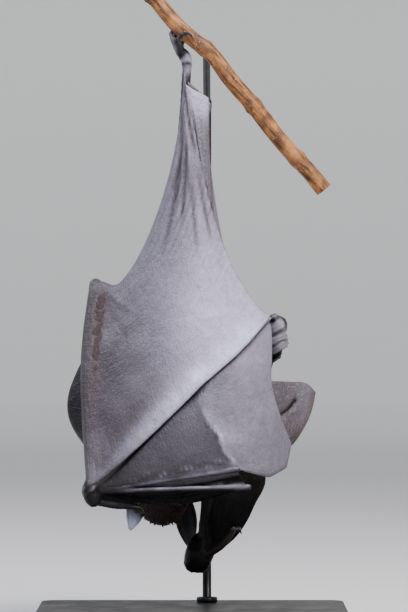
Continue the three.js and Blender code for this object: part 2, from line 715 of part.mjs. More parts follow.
order.push(
  ["wing_left_hand_membrane", SKIN, (grow) => sheet(leftHand, MEMBRANE, grow, 11, 6)],
  ["wing_left_body_membrane", SKIN, (grow) => bodyMembrane(LEFT_WING, flankLeft, grow)],
  ["wing_left_tip_membrane", SKIN, (grow) => sheet(leftTip, TIP_THICKNESS, grow, 6, 6)],
  ["wing_left_finger_fold", SKIN, (grow) => fingerFold(LEFT_WING, grow)],
  ["wing_left_thumb_web", SKIN, (grow) => thumbWeb(LEFT_WING, grow)],
  ["wing_left_shoulder_membrane", SKIN, (grow) => shoulderMembrane(LEFT_WING, grow)],
  ["wing_right_body_membrane", SKIN, (grow) => bodyMembrane(RIGHT_WING, flankRight, grow)],
  ["wing_right_hand_membrane", SKIN, (grow) => sheet(rightHand, MEMBRANE, grow, 10, 4)],
  ["wing_right_shoulder_membrane", SKIN, (grow) => shoulderMembrane(RIGHT_WING, grow)],
  ["tail_membrane", SKIN, tailMembrane],
);

const bat = new THREE.Group();
let claimed = null;
for (const [name, finish, build] of order) {
  const whole = build(0);
  const cut = largest(claimed ? whole.subtract(claimed) : whole);
  const solid = largest(cut.simplify(EASE));
  const keepOff = build(GAP);
  claimed = claimed ? claimed.add(keepOff) : keepOff;
  const mesh = new THREE.Mesh(geometryOf(solid), new THREE.MeshStandardMaterial(finish));
  mesh.name = name;
  bat.add(mesh);
}

export default bat;
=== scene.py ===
"""The looks of a museum model of a large flying fox, asleep under a cut branch on a display stand.

Sizes are millimetres and become metres when a mesh is made. +Z is up, the belly faces -Y and the
bat's own left side is towards -X. The bat hangs head down, so its head is the low end.
"""

import json
import logging
import math
from collections.abc import Callable, Sequence
from dataclasses import dataclass, field
from enum import Enum

import bpy
import numpy as np
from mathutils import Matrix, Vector
from mathutils.bvhtree import BVHTree
from mathutils.kdtree import KDTree

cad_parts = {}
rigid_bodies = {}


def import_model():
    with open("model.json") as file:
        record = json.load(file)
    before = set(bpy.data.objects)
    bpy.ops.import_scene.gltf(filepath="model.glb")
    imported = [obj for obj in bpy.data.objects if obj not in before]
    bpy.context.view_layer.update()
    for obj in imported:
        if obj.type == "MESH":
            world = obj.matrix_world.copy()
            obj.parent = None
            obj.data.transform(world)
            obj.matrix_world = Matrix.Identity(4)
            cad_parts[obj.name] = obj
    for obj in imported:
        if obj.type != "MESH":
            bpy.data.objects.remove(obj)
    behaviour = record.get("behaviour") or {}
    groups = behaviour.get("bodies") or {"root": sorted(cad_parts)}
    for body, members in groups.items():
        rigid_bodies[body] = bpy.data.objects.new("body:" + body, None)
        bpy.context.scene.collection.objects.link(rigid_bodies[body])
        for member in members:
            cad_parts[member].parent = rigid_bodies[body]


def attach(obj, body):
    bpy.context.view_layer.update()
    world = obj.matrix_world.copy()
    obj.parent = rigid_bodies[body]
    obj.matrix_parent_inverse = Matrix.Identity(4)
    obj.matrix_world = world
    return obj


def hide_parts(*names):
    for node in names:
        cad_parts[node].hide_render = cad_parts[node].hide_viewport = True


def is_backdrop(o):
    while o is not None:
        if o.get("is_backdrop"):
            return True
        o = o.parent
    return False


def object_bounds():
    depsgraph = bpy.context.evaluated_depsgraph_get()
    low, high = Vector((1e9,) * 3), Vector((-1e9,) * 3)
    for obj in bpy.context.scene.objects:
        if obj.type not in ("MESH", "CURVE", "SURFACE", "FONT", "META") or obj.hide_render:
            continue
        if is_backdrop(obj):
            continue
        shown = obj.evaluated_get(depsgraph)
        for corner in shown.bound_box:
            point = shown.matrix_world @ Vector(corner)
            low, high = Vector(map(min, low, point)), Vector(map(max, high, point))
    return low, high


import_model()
CAD_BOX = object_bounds()

LOG = logging.getLogger("flying_fox")
MM = 0.001
SEED = 7
MEMBRANE = 0.9  # thickness of the wing skin
OUT = (0, -1, 0)  # the belly's side, where a sheet has its front

Array = np.ndarray
Point = tuple[float, float, float]
Edge = Callable[[Array], Array]
Surface = Callable[[Array, Array], Array]


# ------------------------------------------------------------------ curves and surfaces


def vec(*values: float) -> Array:
    """An array of floats."""
    return np.array(values, float)


def unit(vectors: Array) -> Array:
    """Vectors brought to length one."""
    return vectors / np.maximum(np.linalg.norm(vectors, axis=-1, keepdims=True), 1e-12)


def smooth(low: float, high: float, values: Array) -> Array:
    """Rises from 0 at low to 1 at high, with a soft start and end."""
    share = np.clip((values - low) / (high - low), 0, 1)
    return share * share * (3 - 2 * share)


def bell(values: Array, width: float) -> Array:
    """1 at zero, falling off smoothly on both sides over about the width."""
    return np.exp(-((values / width) ** 2))


def line(*points: Point) -> Edge:
    """A centripetal Catmull-Rom curve through the points, or a straight line for two.

    Args:
        points: the points that the curve passes.

    Returns:
        A function from shares of the curve to its points.
    """
    knots = np.array(points, float)
    if len(knots) == 2:
        return lambda t: knots[0] + (knots[1] - knots[0]) * np.atleast_1d(t)[:, None]
    padded = np.vstack([2 * knots[0] - knots[1], knots, 2 * knots[-1] - knots[-2]])

    def at(t: Array) -> Array:
        """Points at shares t."""
        spot = np.clip(np.atleast_1d(t), 0, 1) * (len(knots) - 1)
        k = np.minimum(spot.astype(int), len(knots) - 2)
        w = (spot - k)[:, None]
        p0, p1, p2, p3 = (padded[k + i] for i in range(4))
        d0, d1, d2 = (
            np.linalg.norm(b - a, axis=1, keepdims=True) ** 0.5
            for a, b in ((p0, p1), (p1, p2), (p2, p3))
        )
        m1 = ((p1 - p0) / d0 - (p2 - p0) / (d0 + d1) + (p2 - p1) / d1) * d1
        m2 = ((p2 - p1) / d1 - (p3 - p1) / (d1 + d2) + (p3 - p2) / d2) * d1
        return p1 + m1 * w + (3 * (p2 - p1) - 2 * m1 - m2) * w**2 + (2 * (p1 - p2) + m1 + m2) * w**3

    return at


def bezier(start: Point, handles: Sequence[Point], end: Point) -> Edge:
    """A cubic curve with two handles."""
    a, b, c, d = (np.array(p, float) for p in (start, handles[0], handles[1], end))

    def at(t: Array) -> Array:
        """Points at shares t."""
        w = np.atleast_1d(t)[:, None]
        return a * (1 - w) ** 3 + 3 * b * w * (1 - w) ** 2 + 3 * c * w**2 * (1 - w) + d * w**3

    return at


def jointed(points: Sequence[Point], shares: Sequence[float]) -> Edge:
    """Straight stretches that meet at the given shares, so that a joint keeps its corner."""
    knots = np.array(points, float)
    return lambda t: np.stack([np.interp(np.atleast_1d(t), shares, knots[:, k]) for k in range(3)], 1)


def backwards(edge: Edge) -> Edge:
    """The same edge run from its other end."""
    return lambda t: edge(1 - np.atleast_1d(t))


def even(edge: Edge, count: int) -> Array:
    """Points at equal distances along an edge."""
    fine = edge(np.linspace(0, 1, 400))
    run = np.concatenate([[0], np.cumsum(np.linalg.norm(np.diff(fine, axis=0), axis=1))])
    spots = np.linspace(0, run[-1], count)
    return np.stack([np.interp(spots, run, fine[:, k]) for k in range(3)], 1)


def wobble(points: Array, size: float, seed: int) -> Array:
    """Smooth noise between about -1 and 1, with features of the given size in millimetres."""
    random = np.random.default_rng(seed)
    ways = unit(random.normal(size=(9, 3))) / size * random.uniform(0.6, 1.6, 9)[:, None]
    phases = random.uniform(0, 2 * math.pi, 9)
    return np.sin(points @ ways.T * 2.2 + phases).sum(1) / 4.2


@dataclass(frozen=True)
class Bulge:
    """A soft hump in a patch: how far it pushes, where its peak is and how narrow it is."""

    by: Point
    u: float = 0.5
    v: float = 0.5
    focus: float = 1.6

    def push(self, u: Array, v: Array) -> Array:
        """The push at each place of the patch."""

        def hump(t: Array, peak: float) -> Array:
            """0 at both ends and 1 at the peak."""
            t = np.clip(t, 1e-9, 1 - 1e-9)
            return ((t / peak) ** peak * ((1 - t) / (1 - peak)) ** (1 - peak)) ** self.focus

        return (hump(u, self.u) * hump(v, self.v))[:, None] * vec(*self.by)


def patch(low: Edge, high: Edge, first: Edge, last: Edge, bulges: Sequence[Bulge] = ()) -> Surface:
    """A smooth patch between four edges: low and high run along u, first and last along v."""
    ends = np.array([0.0, 1.0])
    (c00, c10), (c01, c11) = low(ends), high(ends)

    def at(u: Array, v: Array) -> Array:
        """Points at the places (u, v)."""
        a, b = u[:, None], v[:, None]
        rest = c00 * (1 - a) * (1 - b) + c10 * a * (1 - b) + c01 * (1 - a) * b + c11 * a * b
        made = low(u) * (1 - b) + high(u) * b + first(v) * (1 - a) + last(v) * a - rest
        for bulge in bulges:
            made = made + bulge.push(u, v)
        return made

    return at


def bridge(low: Edge, high: Edge, bulges: Sequence[Bulge] = ()) -> Surface:
    """A patch between two edges, with straight lines across at both ends."""
    ends = np.array([0.0, 1.0])
    across = [line(tuple(start), tuple(end)) for start, end in zip(low(ends), high(ends))]
    return patch(low, high, *across, bulges)


def corner(point: Point) -> Edge:
    """An edge that is shrunk to one point."""
    return lambda t: np.tile(vec(*point), (len(t), 1))


def stretch(edge: Edge, start: float, length: float) -> Edge:
    """A part of an edge, given by the share where it starts and the share it takes."""
    return lambda t: edge(start + length * t)


def eased(surface: Surface, weight: Callable[[Array], Array], steps: int) -> Surface:
    """A surface with its rows smoothed along u, by a weight that depends on v.

    Args:
        surface: the surface, asked for a whole grid at once.
        weight: 0 where the rows stay as they are, 1 where they are smoothed most.
        steps: how often they are smoothed.

    Returns:
        The smoothed surface.
    """

    def at(u: Array, v: Array) -> Array:
        """Points at the places (u, v) of a grid."""
        columns = int(np.sum(v == v[0]))
        rows = surface(u, v).reshape(-1, columns, 3)
        share = weight(v.reshape(-1, columns)[:, 0])[:, None, None] / 4
        for _ in range(steps):
            rows[:, 1:-1] += (rows[:, :-2] + rows[:, 2:] - 2 * rows[:, 1:-1]) * share
        return rows.reshape(-1, 3)

    return at


def to_path(points: Array, path: Array) -> tuple[Array, Array]:
    """Distance from each point to a path, and the share of the path at the nearest place."""
    starts, steps = path[:-1], np.diff(path, axis=0)
    lengths = np.linalg.norm(steps, axis=1)
    run = np.concatenate([[0], np.cumsum(lengths)])
    best = np.full(len(points), np.inf)
    share = np.zeros(len(points))
    for k, (start, step) in enumerate(zip(starts, steps)):
        along = np.clip((points - start) @ step / max(lengths[k] ** 2, 1e-12), 0, 1)
        far = np.linalg.norm(points - start - along[:, None] * step, axis=1)
        near = far < best
        best[near] = far[near]
        share[near] = (run[k] + along[near] * lengths[k]) / run[-1]
    return best, share


# ------------------------------------------------------------------ meshes


@dataclass
class Shell:
    """A closed mesh in the making: points in millimetres, faces, and named values at the points."""

    points: Array
    quads: Array = field(default_factory=lambda: np.zeros((0, 4), int))
    tris: Array = field(default_factory=lambda: np.zeros((0, 3), int))
    values: dict[str, Array] = field(default_factory=dict)

    def __add__(self, other: "Shell") -> "Shell":
        """Both shells in one, side by side."""
        shift = len(self.points)
        names = set(self.values) & set(other.values)
        return Shell(
            np.vstack([self.points, other.points]),
            np.vstack([self.quads, other.quads + shift]),
            np.vstack([self.tris, other.tris + shift]),
            {n: np.concatenate([self.values[n], other.values[n]]) for n in sorted(names)},
        )

    def triangles(self) -> Array:
        """Its faces, cut into triangles."""
        return np.vstack([self.tris, self.quads[:, [0, 1, 2]], self.quads[:, [0, 2, 3]]])

    def volume(self) -> float:
        """Signed volume, positive where the faces point outwards."""
        a, b, c = (self.points[corner] for corner in self.triangles().T)
        return float(np.einsum("ij,ij->i", a, np.cross(b, c)).sum() / 6)

    def outward(self) -> "Shell":
        """The shell with its faces pointing outwards."""
        if self.volume() < 0:
            self.quads, self.tris = self.quads[:, ::-1], self.tris[:, ::-1]
        return self

    def swell(self, centre: Array, by: Array) -> None:
        """Moves each point away from a centre, or from its own place on a middle line."""
        self.points += unit(self.points - centre) * by[:, None]

    def middles(self, path: Array) -> Array:
        """For each point of a limb, the station of the path that it stands round."""
        last = len(path) - 1
        return path[np.clip((self.values["along"] * last).round().astype(int), 0, last)]

    def mesh(self, name: str) -> bpy.types.Mesh:
        """A Blender mesh in metres, with the named values as attributes at its points."""
        made = bpy.data.meshes.new(name)
        corners = np.concatenate([self.quads.ravel(), self.tris.ravel()]).astype(np.int32)
        sizes = np.repeat([4, 3], [len(self.quads), len(self.tris)])
        made.vertices.add(len(self.points))
        made.vertices.foreach_set("co", (self.points * MM).astype(np.float32).ravel())
        made.loops.add(len(corners))
        made.loops.foreach_set("vertex_index", corners)
        made.polygons.add(len(sizes))
        made.polygons.foreach_set("loop_start", (np.cumsum(sizes) - sizes).astype(np.int32))
        made.update(calc_edges=True)
        made.validate()
        store(made, self.values)
        made.shade_smooth()
        return made


def store(mesh: bpy.types.Mesh, values: dict[str, Array]) -> None:
    """Writes named values to a mesh: numbers, or triples where there are three to a point."""
    for name, value in values.items():
        kind, key = ("FLOAT", "value") if value.ndim == 1 else ("FLOAT_VECTOR", "vector")
        if value.ndim == 1 or value.shape[1] == 3:
            mesh.attributes.new(name, kind, "POINT").data.foreach_set(key, value.astype(np.float32).ravel())


def placed(name: str, data: bpy.types.ID) -> bpy.types.Object:
    """An object in the scene, made of a mesh, a lamp or a camera."""
    made = bpy.data.objects.new(name, data)
    bpy.context.scene.collection.objects.link(made)
    return made


def thing(name: str, shell: Shell) -> bpy.types.Object:
    """An object made of a shell."""
    return placed(name, shell.mesh(name))


def settled(thing_with_modifier: bpy.types.Object) -> bpy.types.Mesh:
    """The plain mesh that an object's modifiers make. They are taken off it."""
    made = bpy.data.meshes.new_from_object(
        thing_with_modifier.evaluated_get(bpy.context.evaluated_depsgraph_get())
    )
    thing_with_modifier.modifiers.clear()
    return made


def together(shells: Sequence[Shell]) -> Shell:
    """All the shells as one."""
    whole = shells[0]
    for shell in shells[1:]:
        whole = whole + shell
    return whole


def beside(shell: Shell, x: float, z: float) -> Array:
    """How far each point is from a spot, seen from the front."""
    return np.hypot(shell.points[:, 0] - x, shell.points[:, 2] - z)


def points_of(mesh: bpy.types.Mesh) -> Array:
    """The mesh's points in millimetres."""
    flat = np.empty(len(mesh.vertices) * 3, np.float32)
    mesh.vertices.foreach_get("co", flat)
    return flat.reshape(-1, 3).astype(float) / MM


def move_points(mesh: bpy.types.Mesh, points: Array) -> None:
    """Puts the mesh's points at new places, given in millimetres."""
    mesh.vertices.foreach_set("co", (points * MM).astype(np.float32).ravel())
    mesh.update()


def edges_of(mesh: bpy.types.Mesh) -> Array:
    """The pairs of points that the mesh's edges join."""
    flat = np.empty(len(mesh.edges) * 2, np.int32)
    mesh.edges.foreach_get("vertices", flat)
    return flat.reshape(-1, 2)


def neighbour_mean(points: Array, edges: Array) -> Array:
    """For each point, the mean of the values at the points joined to it."""
    total = np.zeros_like(points)
    count = np.bincount(edges.ravel(), minlength=len(points)).astype(float)
    for a, b in ((0, 1), (1, 0)):
        for k in range(points.shape[1]):
            total[:, k] += np.bincount(edges[:, a], points[edges[:, b], k], len(points))
    return total / np.maximum(count, 1)[:, None]


def rings(circles: Array, closed_ends: bool = True) -> Shell:
    """Joins circles of points, an array of (ring, side, xyz), into one body with closed ends."""
    count, sides = circles.shape[:2]
    grid = np.arange(count * sides).reshape(count, sides)
    after = np.roll(grid, -1, axis=1)
    quads = np.stack([grid[:-1], after[:-1], after[1:], grid[1:]], -1).reshape(-1, 4)
    points = circles.reshape(-1, 3)
    tris = np.zeros((0, 3), int)
    if closed_ends:
        poles = np.stack([circles[0].mean(0), circles[-1].mean(0)])
        points = np.vstack([points, poles])
        low = np.stack([after[0], grid[0], np.full(sides, count * sides)], 1)
        high = np.stack([grid[-1], after[-1], np.full(sides, count * sides + 1)], 1)
        tris = np.vstack([low, high])
    return Shell(points, quads, tris)


class Cut(Enum):
    """How the end of a tube is closed."""

    ROUND = "round"
    FLAT = "flat"


def travelling_frames(path: Array, first: Array | None = None) -> tuple[Array, Array, Array]:
    """Tangents and two crosswise directions along a path, turned as little as possible.

    Args:
        path: points along the path.
        first: a direction that the first crosswise one should lie near.

    Returns:
        Tangents, normals and binormals.
    """
    tangents = unit(np.gradient(path, axis=0))
    seed = vec(0, -1, 0) if first is None else first
    if abs(tangents[0] @ seed) > 0.95:
        seed = vec(1, 0, 0)
    normals = np.empty_like(path)
    last = seed
    for k, tangent in enumerate(tangents):
        last = unit(last - tangent * (last @ tangent))
        normals[k] = last
    return tangents, normals, np.cross(tangents, normals)


def tube(path: Array, radii: Array, sides: int, ends: Cut = Cut.ROUND, facing: Array | None = None) -> Shell:
    """A limb along a path.

    Args:
        path: evenly spaced points.
        radii: one radius for each point, or one for each point and side.
        sides: the number of points round it.
        ends: how its ends are closed.
        facing: a direction that its first side looks to.

    Returns:
        A closed shell with the values "along" (share of its length) and "turn" (share of a turn).
    """
    tangents, normals, binormals = travelling_frames(path, facing)
    radii = np.broadcast_to(radii[:, None] if radii.ndim == 1 else radii, (len(path), sides))
    turn = np.arange(sides) / sides * 2 * math.pi
    spoke = normals[:, None] * np.cos(turn)[None, :, None] + binormals[:, None] * np.sin(turn)[None, :, None]
    circles = path[:, None] + spoke * radii[..., None]
    along = np.linspace(0, 1, len(path))
    if ends is Cut.ROUND:
        for at, sign in ((0, -1), (-1, 1)):
            caps = []
            for angle in (0.5, 0.95, 1.3):
                reach = radii[at].mean() * math.sin(angle) * sign
                caps.append(path[at] + tangents[at] * reach + spoke[at] * radii[at][:, None] * math.cos(angle))
            circles = np.concatenate([np.array(caps[::-1]), circles] if at == 0 else [circles, np.array(caps)])
        along = np.concatenate([np.zeros(3), along, np.ones(3)])
    made = rings(circles)
    made.values["along"] = np.concatenate([np.repeat(along, sides), [0, 1]])
    made.values["turn"] = np.concatenate([np.tile(np.arange(sides) / sides, len(circles)), [0, 0]])
    return made.outward()


def taper(*values: float) -> Callable[[Array], Array]:
    """A radius that runs evenly through the values given."""
    knots = np.linspace(0, 1, len(values))
    return lambda t: np.interp(t, knots, values)


def limb(
    edge: Edge,
    count: int,
    sides: int,
    radii: Sequence[float],
    shape: Callable[[Array, Array], Array] | None = None,
) -> tuple[Shell, Array]:
    """A limb along an edge.

    Args:
        edge: its middle line.
        count: the number of stations along it.
        sides: the number of points round it.
        radii: the radii that it runs through.
        shape: changes them, from the share of the length and the radius at each station.

    Returns:
        The closed shell, and the middle line's stations.
    """
    path, shares = even(edge, count), np.linspace(0, 1, count)
    thick = taper(*radii)(shares)
    return tube(path, shape(shares, thick) if shape else thick, sides), path


@dataclass(frozen=True)
class Grid:
    """How finely a sheet is laid out, and where along u it starts."""

    across: int
    down: int
    start: float = 0.004


@dataclass
class Places:
    """The places of a sheet's grid, for the functions that give it relief and colour."""

    u: Array
    v: Array
    points: Array
    normals: Array


Relief = Callable[[Places], Array | tuple[Array, Array]]


def sheet(
    surface: Surface, grid: Grid, outside: Point, relief: Relief | None = None, thickness: float = MEMBRANE
) -> Shell:
    """A thin closed sheet over a surface.

    Args:
        surface: the middle of the sheet.
        grid: its layout.
        outside: a direction on the side that is called its front.
        relief: gives how far the sheet stands off, or front and back each for themselves.
        thickness: of the sheet.

    Returns:
        A closed shell with the values "u", "v", "front" (1 in front, 0 behind) and "web" (millimetres
        along u and v).
    """
    u, v = np.meshgrid(np.linspace(grid.start, 1, grid.across + 1), np.linspace(0, 1, grid.down + 1))
    shape = u.shape
    flat = surface(u.ravel(), v.ravel()).reshape(*shape, 3)
    du, dv = np.gradient(flat, axis=1), np.gradient(flat, axis=0)
    normals = unit(np.cross(du, dv))
    if (normals.reshape(-1, 3) @ vec(*outside)).mean() < 0:
        normals = -normals
    places = Places(u.ravel(), v.ravel(), flat.reshape(-1, 3), normals.reshape(-1, 3))
    lifts = relief(places) if relief else np.zeros(u.size)
    lifts = lifts if isinstance(lifts, tuple) else (lifts, -lifts)
    sides = [
        places.points + places.normals * (sign * (thickness / 2 + lift))[:, None]
        for sign, lift in zip((1, -1), lifts)
    ]
    web_u, web_v = (np.linalg.norm(step, axis=2).mean(axis).cumsum() for step, axis in ((du, 0), (dv, 1)))
    web = np.stack([*np.meshgrid(web_u, web_v), np.zeros(shape)], -1).reshape(-1, 3)

    index = np.arange(u.size).reshape(shape)
    front = np.stack([index[:-1, :-1], index[:-1, 1:], index[1:, 1:], index[1:, :-1]], -1).reshape(-1, 4)
    border = np.concatenate([index[0], index[1:, -1], index[-1, -2::-1], index[-2:0:-1, 0]])
    after = np.roll(border, -1)
    rim = np.stack([after, border, border + u.size, after + u.size], 1)
    made = Shell(np.vstack(sides), np.vstack([front, (front + u.size)[:, ::-1], rim]))
    made.values = {
        "u": np.tile(places.u, 2),
        "v": np.tile(places.v, 2),
        "front": np.repeat([1.0, 0.0], u.size),
        "web": np.tile(web, (2, 1)),
    }
    return made.outward()


# ------------------------------------------------------------------ colours


def linear(shade: str) -> Array:
    """An sRGB hex colour as linear red, green and blue."""
    values = np.array([int(shade[k : k + 2], 16) / 255 for k in (1, 3, 5)])
    return np.where(values <= 0.04045, values / 12.92, ((values + 0.055) / 1.055) ** 2.4)


def blend(base: Array, other: Array, share: Array | float) -> Array:
    """Colours mixed point by point, with share 1 giving the other."""
    share = np.clip(np.atleast_1d(share), 0, 1)[:, None]
    return base * (1 - share) + other * share


def pigment(shade: str) -> Array:
    """A field that holds an sRGB hex colour."""
    return field(default_factory=lambda: linear(shade))


@dataclass(frozen=True)
class Pigments:
    """The bat's own colours, and those used for painted light and shade."""

    web: Array = pigment("#706b75")  # slate-grey wing skin
    web_pale: Array = pigment("#aca6bb")  # pale skin, used for painted light and highlights, and for skin stretched thin
    web_brown: Array = pigment("#463e42")  # scurfy skin beside the arm, also used for painted shade in folds
    web_painted_shade: Array = pigment("#060505")  # near black, for painted shade on folded and shaded skin
    web_glare: Array = pigment("#d2d0ea")  # painted sheen on the skin beside the fifth finger
    limb: Array = pigment("#2f2b2f")  # skin over the bones
    pad: Array = pigment("#7c767c")  # skin rubbed pale on soles and knuckles, also used for painted highlights on the wrist's knobs and the first toe
    face: Array = pigment("#15110f")  # nose and lips
    ear: Array = pigment("#1a181b")
    # painted sheen on the ear's tip
    ear_tip_sheen: Array = pigment("#ccd5ee")
    back_fur: Array = pigment("#201612")
    mantle_fur: Array = pigment("#54301d")
    crown_fur: Array = pigment("#22110a")
    face_fur: Array = pigment("#17100d")
    arm_fur: Array = pigment("#5a4743")


TINT = Pigments()


def dress(
    shell: Shell,
    tint: Array,
    coat: Array | float = 0.0,
    lie: Array | Point = (0, 0, 1),
    pelt: Array | None = None,
    leather: float = 0.0,
    place: Array | Point = (0.98, 0.98),
) -> Shell:
    """Gives a shell of skin its markings.

    Args:
        shell: the shell.
        tint: the skin's colour, one or one a point.
        coat: the length of the hair that grows there, 0 on bare skin.
        lie: the way that the hair points.
        pelt: the hair's colour, the skin's own if left out.
        leather: 1 on wing skin, 0 on the body.
        place: where each point lies on the unwrap of the skin.

    Returns:
        The shell.
    """
    count = len(shell.points)
    given = {"tint": (tint, 3), "coat": (coat, 0), "lie": (lie, 3), "pelt": (tint if pelt is None else pelt, 3),
             "leather": (leather, 0), "web": (shell.values.get("web", 0.0), 3), "place": (place, 2)}
    shell.values = {
        name: np.broadcast_to(value, (count, size) if size else (count,)).astype(float).copy()
        for name, (value, size) in given.items()
    }
    return shell


# ------------------------------------------------------------------ wings


@dataclass(frozen=True)
class Crease:
    """A ridge or a groove that runs along a sheet, seen from the front."""

    path: Sequence[Point]
    width: float
    height: float  # negative for a groove
    fade: float = 0.25  # share of its length over which each end dies away

    def near(self, points: Array) -> Array:
        """1 on the crease's line, fading to 0 beside it and past its ends."""
        flat = vec(1, 0, 1)
        far, share = to_path(points * flat, line(*self.path)(np.linspace(0, 1, 24)) * flat)
        return bell(far, self.width) * smooth(0, self.fade, share) * smooth(1, 1 - self.fade, share)

    def lift(self, points: Array) -> Array:
        """How far the sheet stands off."""
        return self.near(points) * self.height


@dataclass(frozen=True)
class WingForm:
    """The places and sizes of one wing, as the frame has them."""

    side: str
    ankle: Point
    shoulder: Point
    elbow: Point
    wrist: Point
    forearm_bow: Point
    fold_handles: Sequence[Point]
    trailing_handles: Sequence[Point]
    knuckle_5: Point
    joint_5: Point
    tip_5: Point
    knuckle_4: Point
    knuckle_3: Point
    front_bulges: Sequence[Bulge]
    back_bulges: Sequence[Bulge]
    shoulder_bulges: Sequence[Bulge]
    neck_edge: Point
    thumb: Sequence[Point]
    thumb_claw: Sequence[Point]
    wrist_pad: Point
    wrist_radius: Sequence[float]
    forearm_radius: Sequence[float]
    flank: Sequence[Point]
    hand_high: Sequence[Point]
    hand_shares: Sequence[float]
    hand_last: Sequence[Point]
    hand_bulge: Point
    dark: float  # how much darker the inner wing is than the outer one: partly its own darker skin, mostly painted shade
    body_grid: Grid
    hand_grid: Grid
    back_rows: int
    flap: Sequence[Point] = ()

    def forearm(self) -> Edge:
        """The forearm's curve from elbow to wrist."""
        bow = vec(*self.elbow) * 0.55 + vec(*self.wrist) * 0.45 + vec(*self.forearm_bow)
        return line(self.elbow, tuple(bow), self.wrist)

    def fifth(self) -> Edge:
        """The fifth finger from wrist to tip."""
        return jointed([self.wrist, self.knuckle_5, self.joint_5, self.tip_5], (0, 0.56, 0.8, 1))


LEFT = WingForm(
    side="left",
    ankle=(-6, -5, 446),
    shoulder=(-52, 12, 168),
    elbow=(-77.5, 33, 272.5),
    wrist=(-78, -55, 112),
    forearm_bow=(-5, -2, 0),
    fold_handles=((-10.5, -4, 345), (-53, 18, 263)),
    trailing_handles=((30, -22, 275), (11, -14, 330)),
    knuckle_5=(5.6, -66, 196.8),
    joint_5=(39, -52, 224.8),
    tip_5=(62.4, -34, 248),
    knuckle_4=(35.2, -62, 129.6),
    knuckle_3=(44, -57, 115.5),
    front_bulges=(Bulge((4, -25, 0)),),
    back_bulges=(Bulge((0, 6, 0)),),
    shoulder_bulges=(Bulge((-37, 2, 0), 0.7, 0.4, 4.5),),
    neck_edge=(-46, -8, 132),
    thumb=((-79, -51, 105), (-64, -50, 101.5), (-48, -46, 100)),
    thumb_claw=((-46.8, -45.6, 99.8), (-41, -43, 98.5), (-37.5, -40, 94)),
    wrist_pad=(-0.4, 2.5, 5.5),
    wrist_radius=(7, 7.6, 6.6),
    forearm_radius=(6.4, 7.4, 7, 6, 5.4, 5.2),
    flank=((-4, -1, 449), (-13, 14, 372), (-32, 16, 300), (-44, 14, 240), (-52, 12, 168)),
    hand_high=((-78, -55, 112), (35.2, -62, 129.6), (61, -46, 122.4), (74.4, -35, 129.6), (79, -26, 148)),
    hand_shares=(0, 0.56, 0.76, 0.88, 1),
    hand_last=((62.4, -34, 248), (63, -33, 222), (63.2, -32, 196), (69, -32, 174), (79, -26, 148)),
    hand_bulge=(2, -7, 0),
    dark=0.0,
    body_grid=Grid(108, 96),
    hand_grid=Grid(100, 48, 0.02),
    back_rows=20,
)
RIGHT = WingForm(
    side="right",
    ankle=(12, 5, 423),
    shoulder=(12, 12, 160),
    elbow=(67.5, 15, 241.5),
    wrist=(6, -6, 60.5),
    forearm_bow=(1, 3, 0),
    fold_handles=((15, 8, 350), (20, 13, 266)),
    trailing_handles=((-18, -24, 270), (0, -4, 330)),
    knuckle_5=(15, -46, 166),
    joint_5=(-12, -46, 198),
    tip_5=(-36, -38, 224),
    knuckle_4=(21, -45, 168),
    knuckle_3=(27, -42, 162),
    front_bulges=(Bulge((7, -17, 0)),),
    back_bulges=(Bulge((-1, 5, 0)),),
    shoulder_bulges=(Bulge((2, 12, 0)),),
    neck_edge=(8, 6, 112),
    thumb=((12, -15, 60), (23, -21, 67), (32, -21, 79)),
    thumb_claw=((32.7, -20.9, 80.3), (37, -18, 80.5), (39.5, -13, 76)),
    wrist_pad=(1.4, 0.4, 5.5),
    wrist_radius=(10.8, 12, 11),
    forearm_radius=(9.8, 7, 6, 5.8, 5.8, 6),
    flank=((11, 9, 419), (11, 18, 364), (14, 20, 300), (21, 16, 240), (12, 12, 160)),
    hand_high=((6, -6, 60.5), (27, -42, 162), (4, -41, 180), (-24, -38, 186)),
    hand_shares=(0, 0.56, 0.8, 1),
    hand_last=((-36, -38, 224), (-33, -39, 205), (-24, -38, 186)),
    hand_bulge=(0, -2, 0),
    dark=0.5,
    body_grid=Grid(54, 46),
    hand_grid=Grid(38, 16, 0.02),
    back_rows=13,
    flap=(
        (55, -3, 150), (59, -8, 122), (57.5, -9, 113), (51, -10, 101), (44, -9, 86), (34, -8, 72), (15, -7, 57)
    ),
)

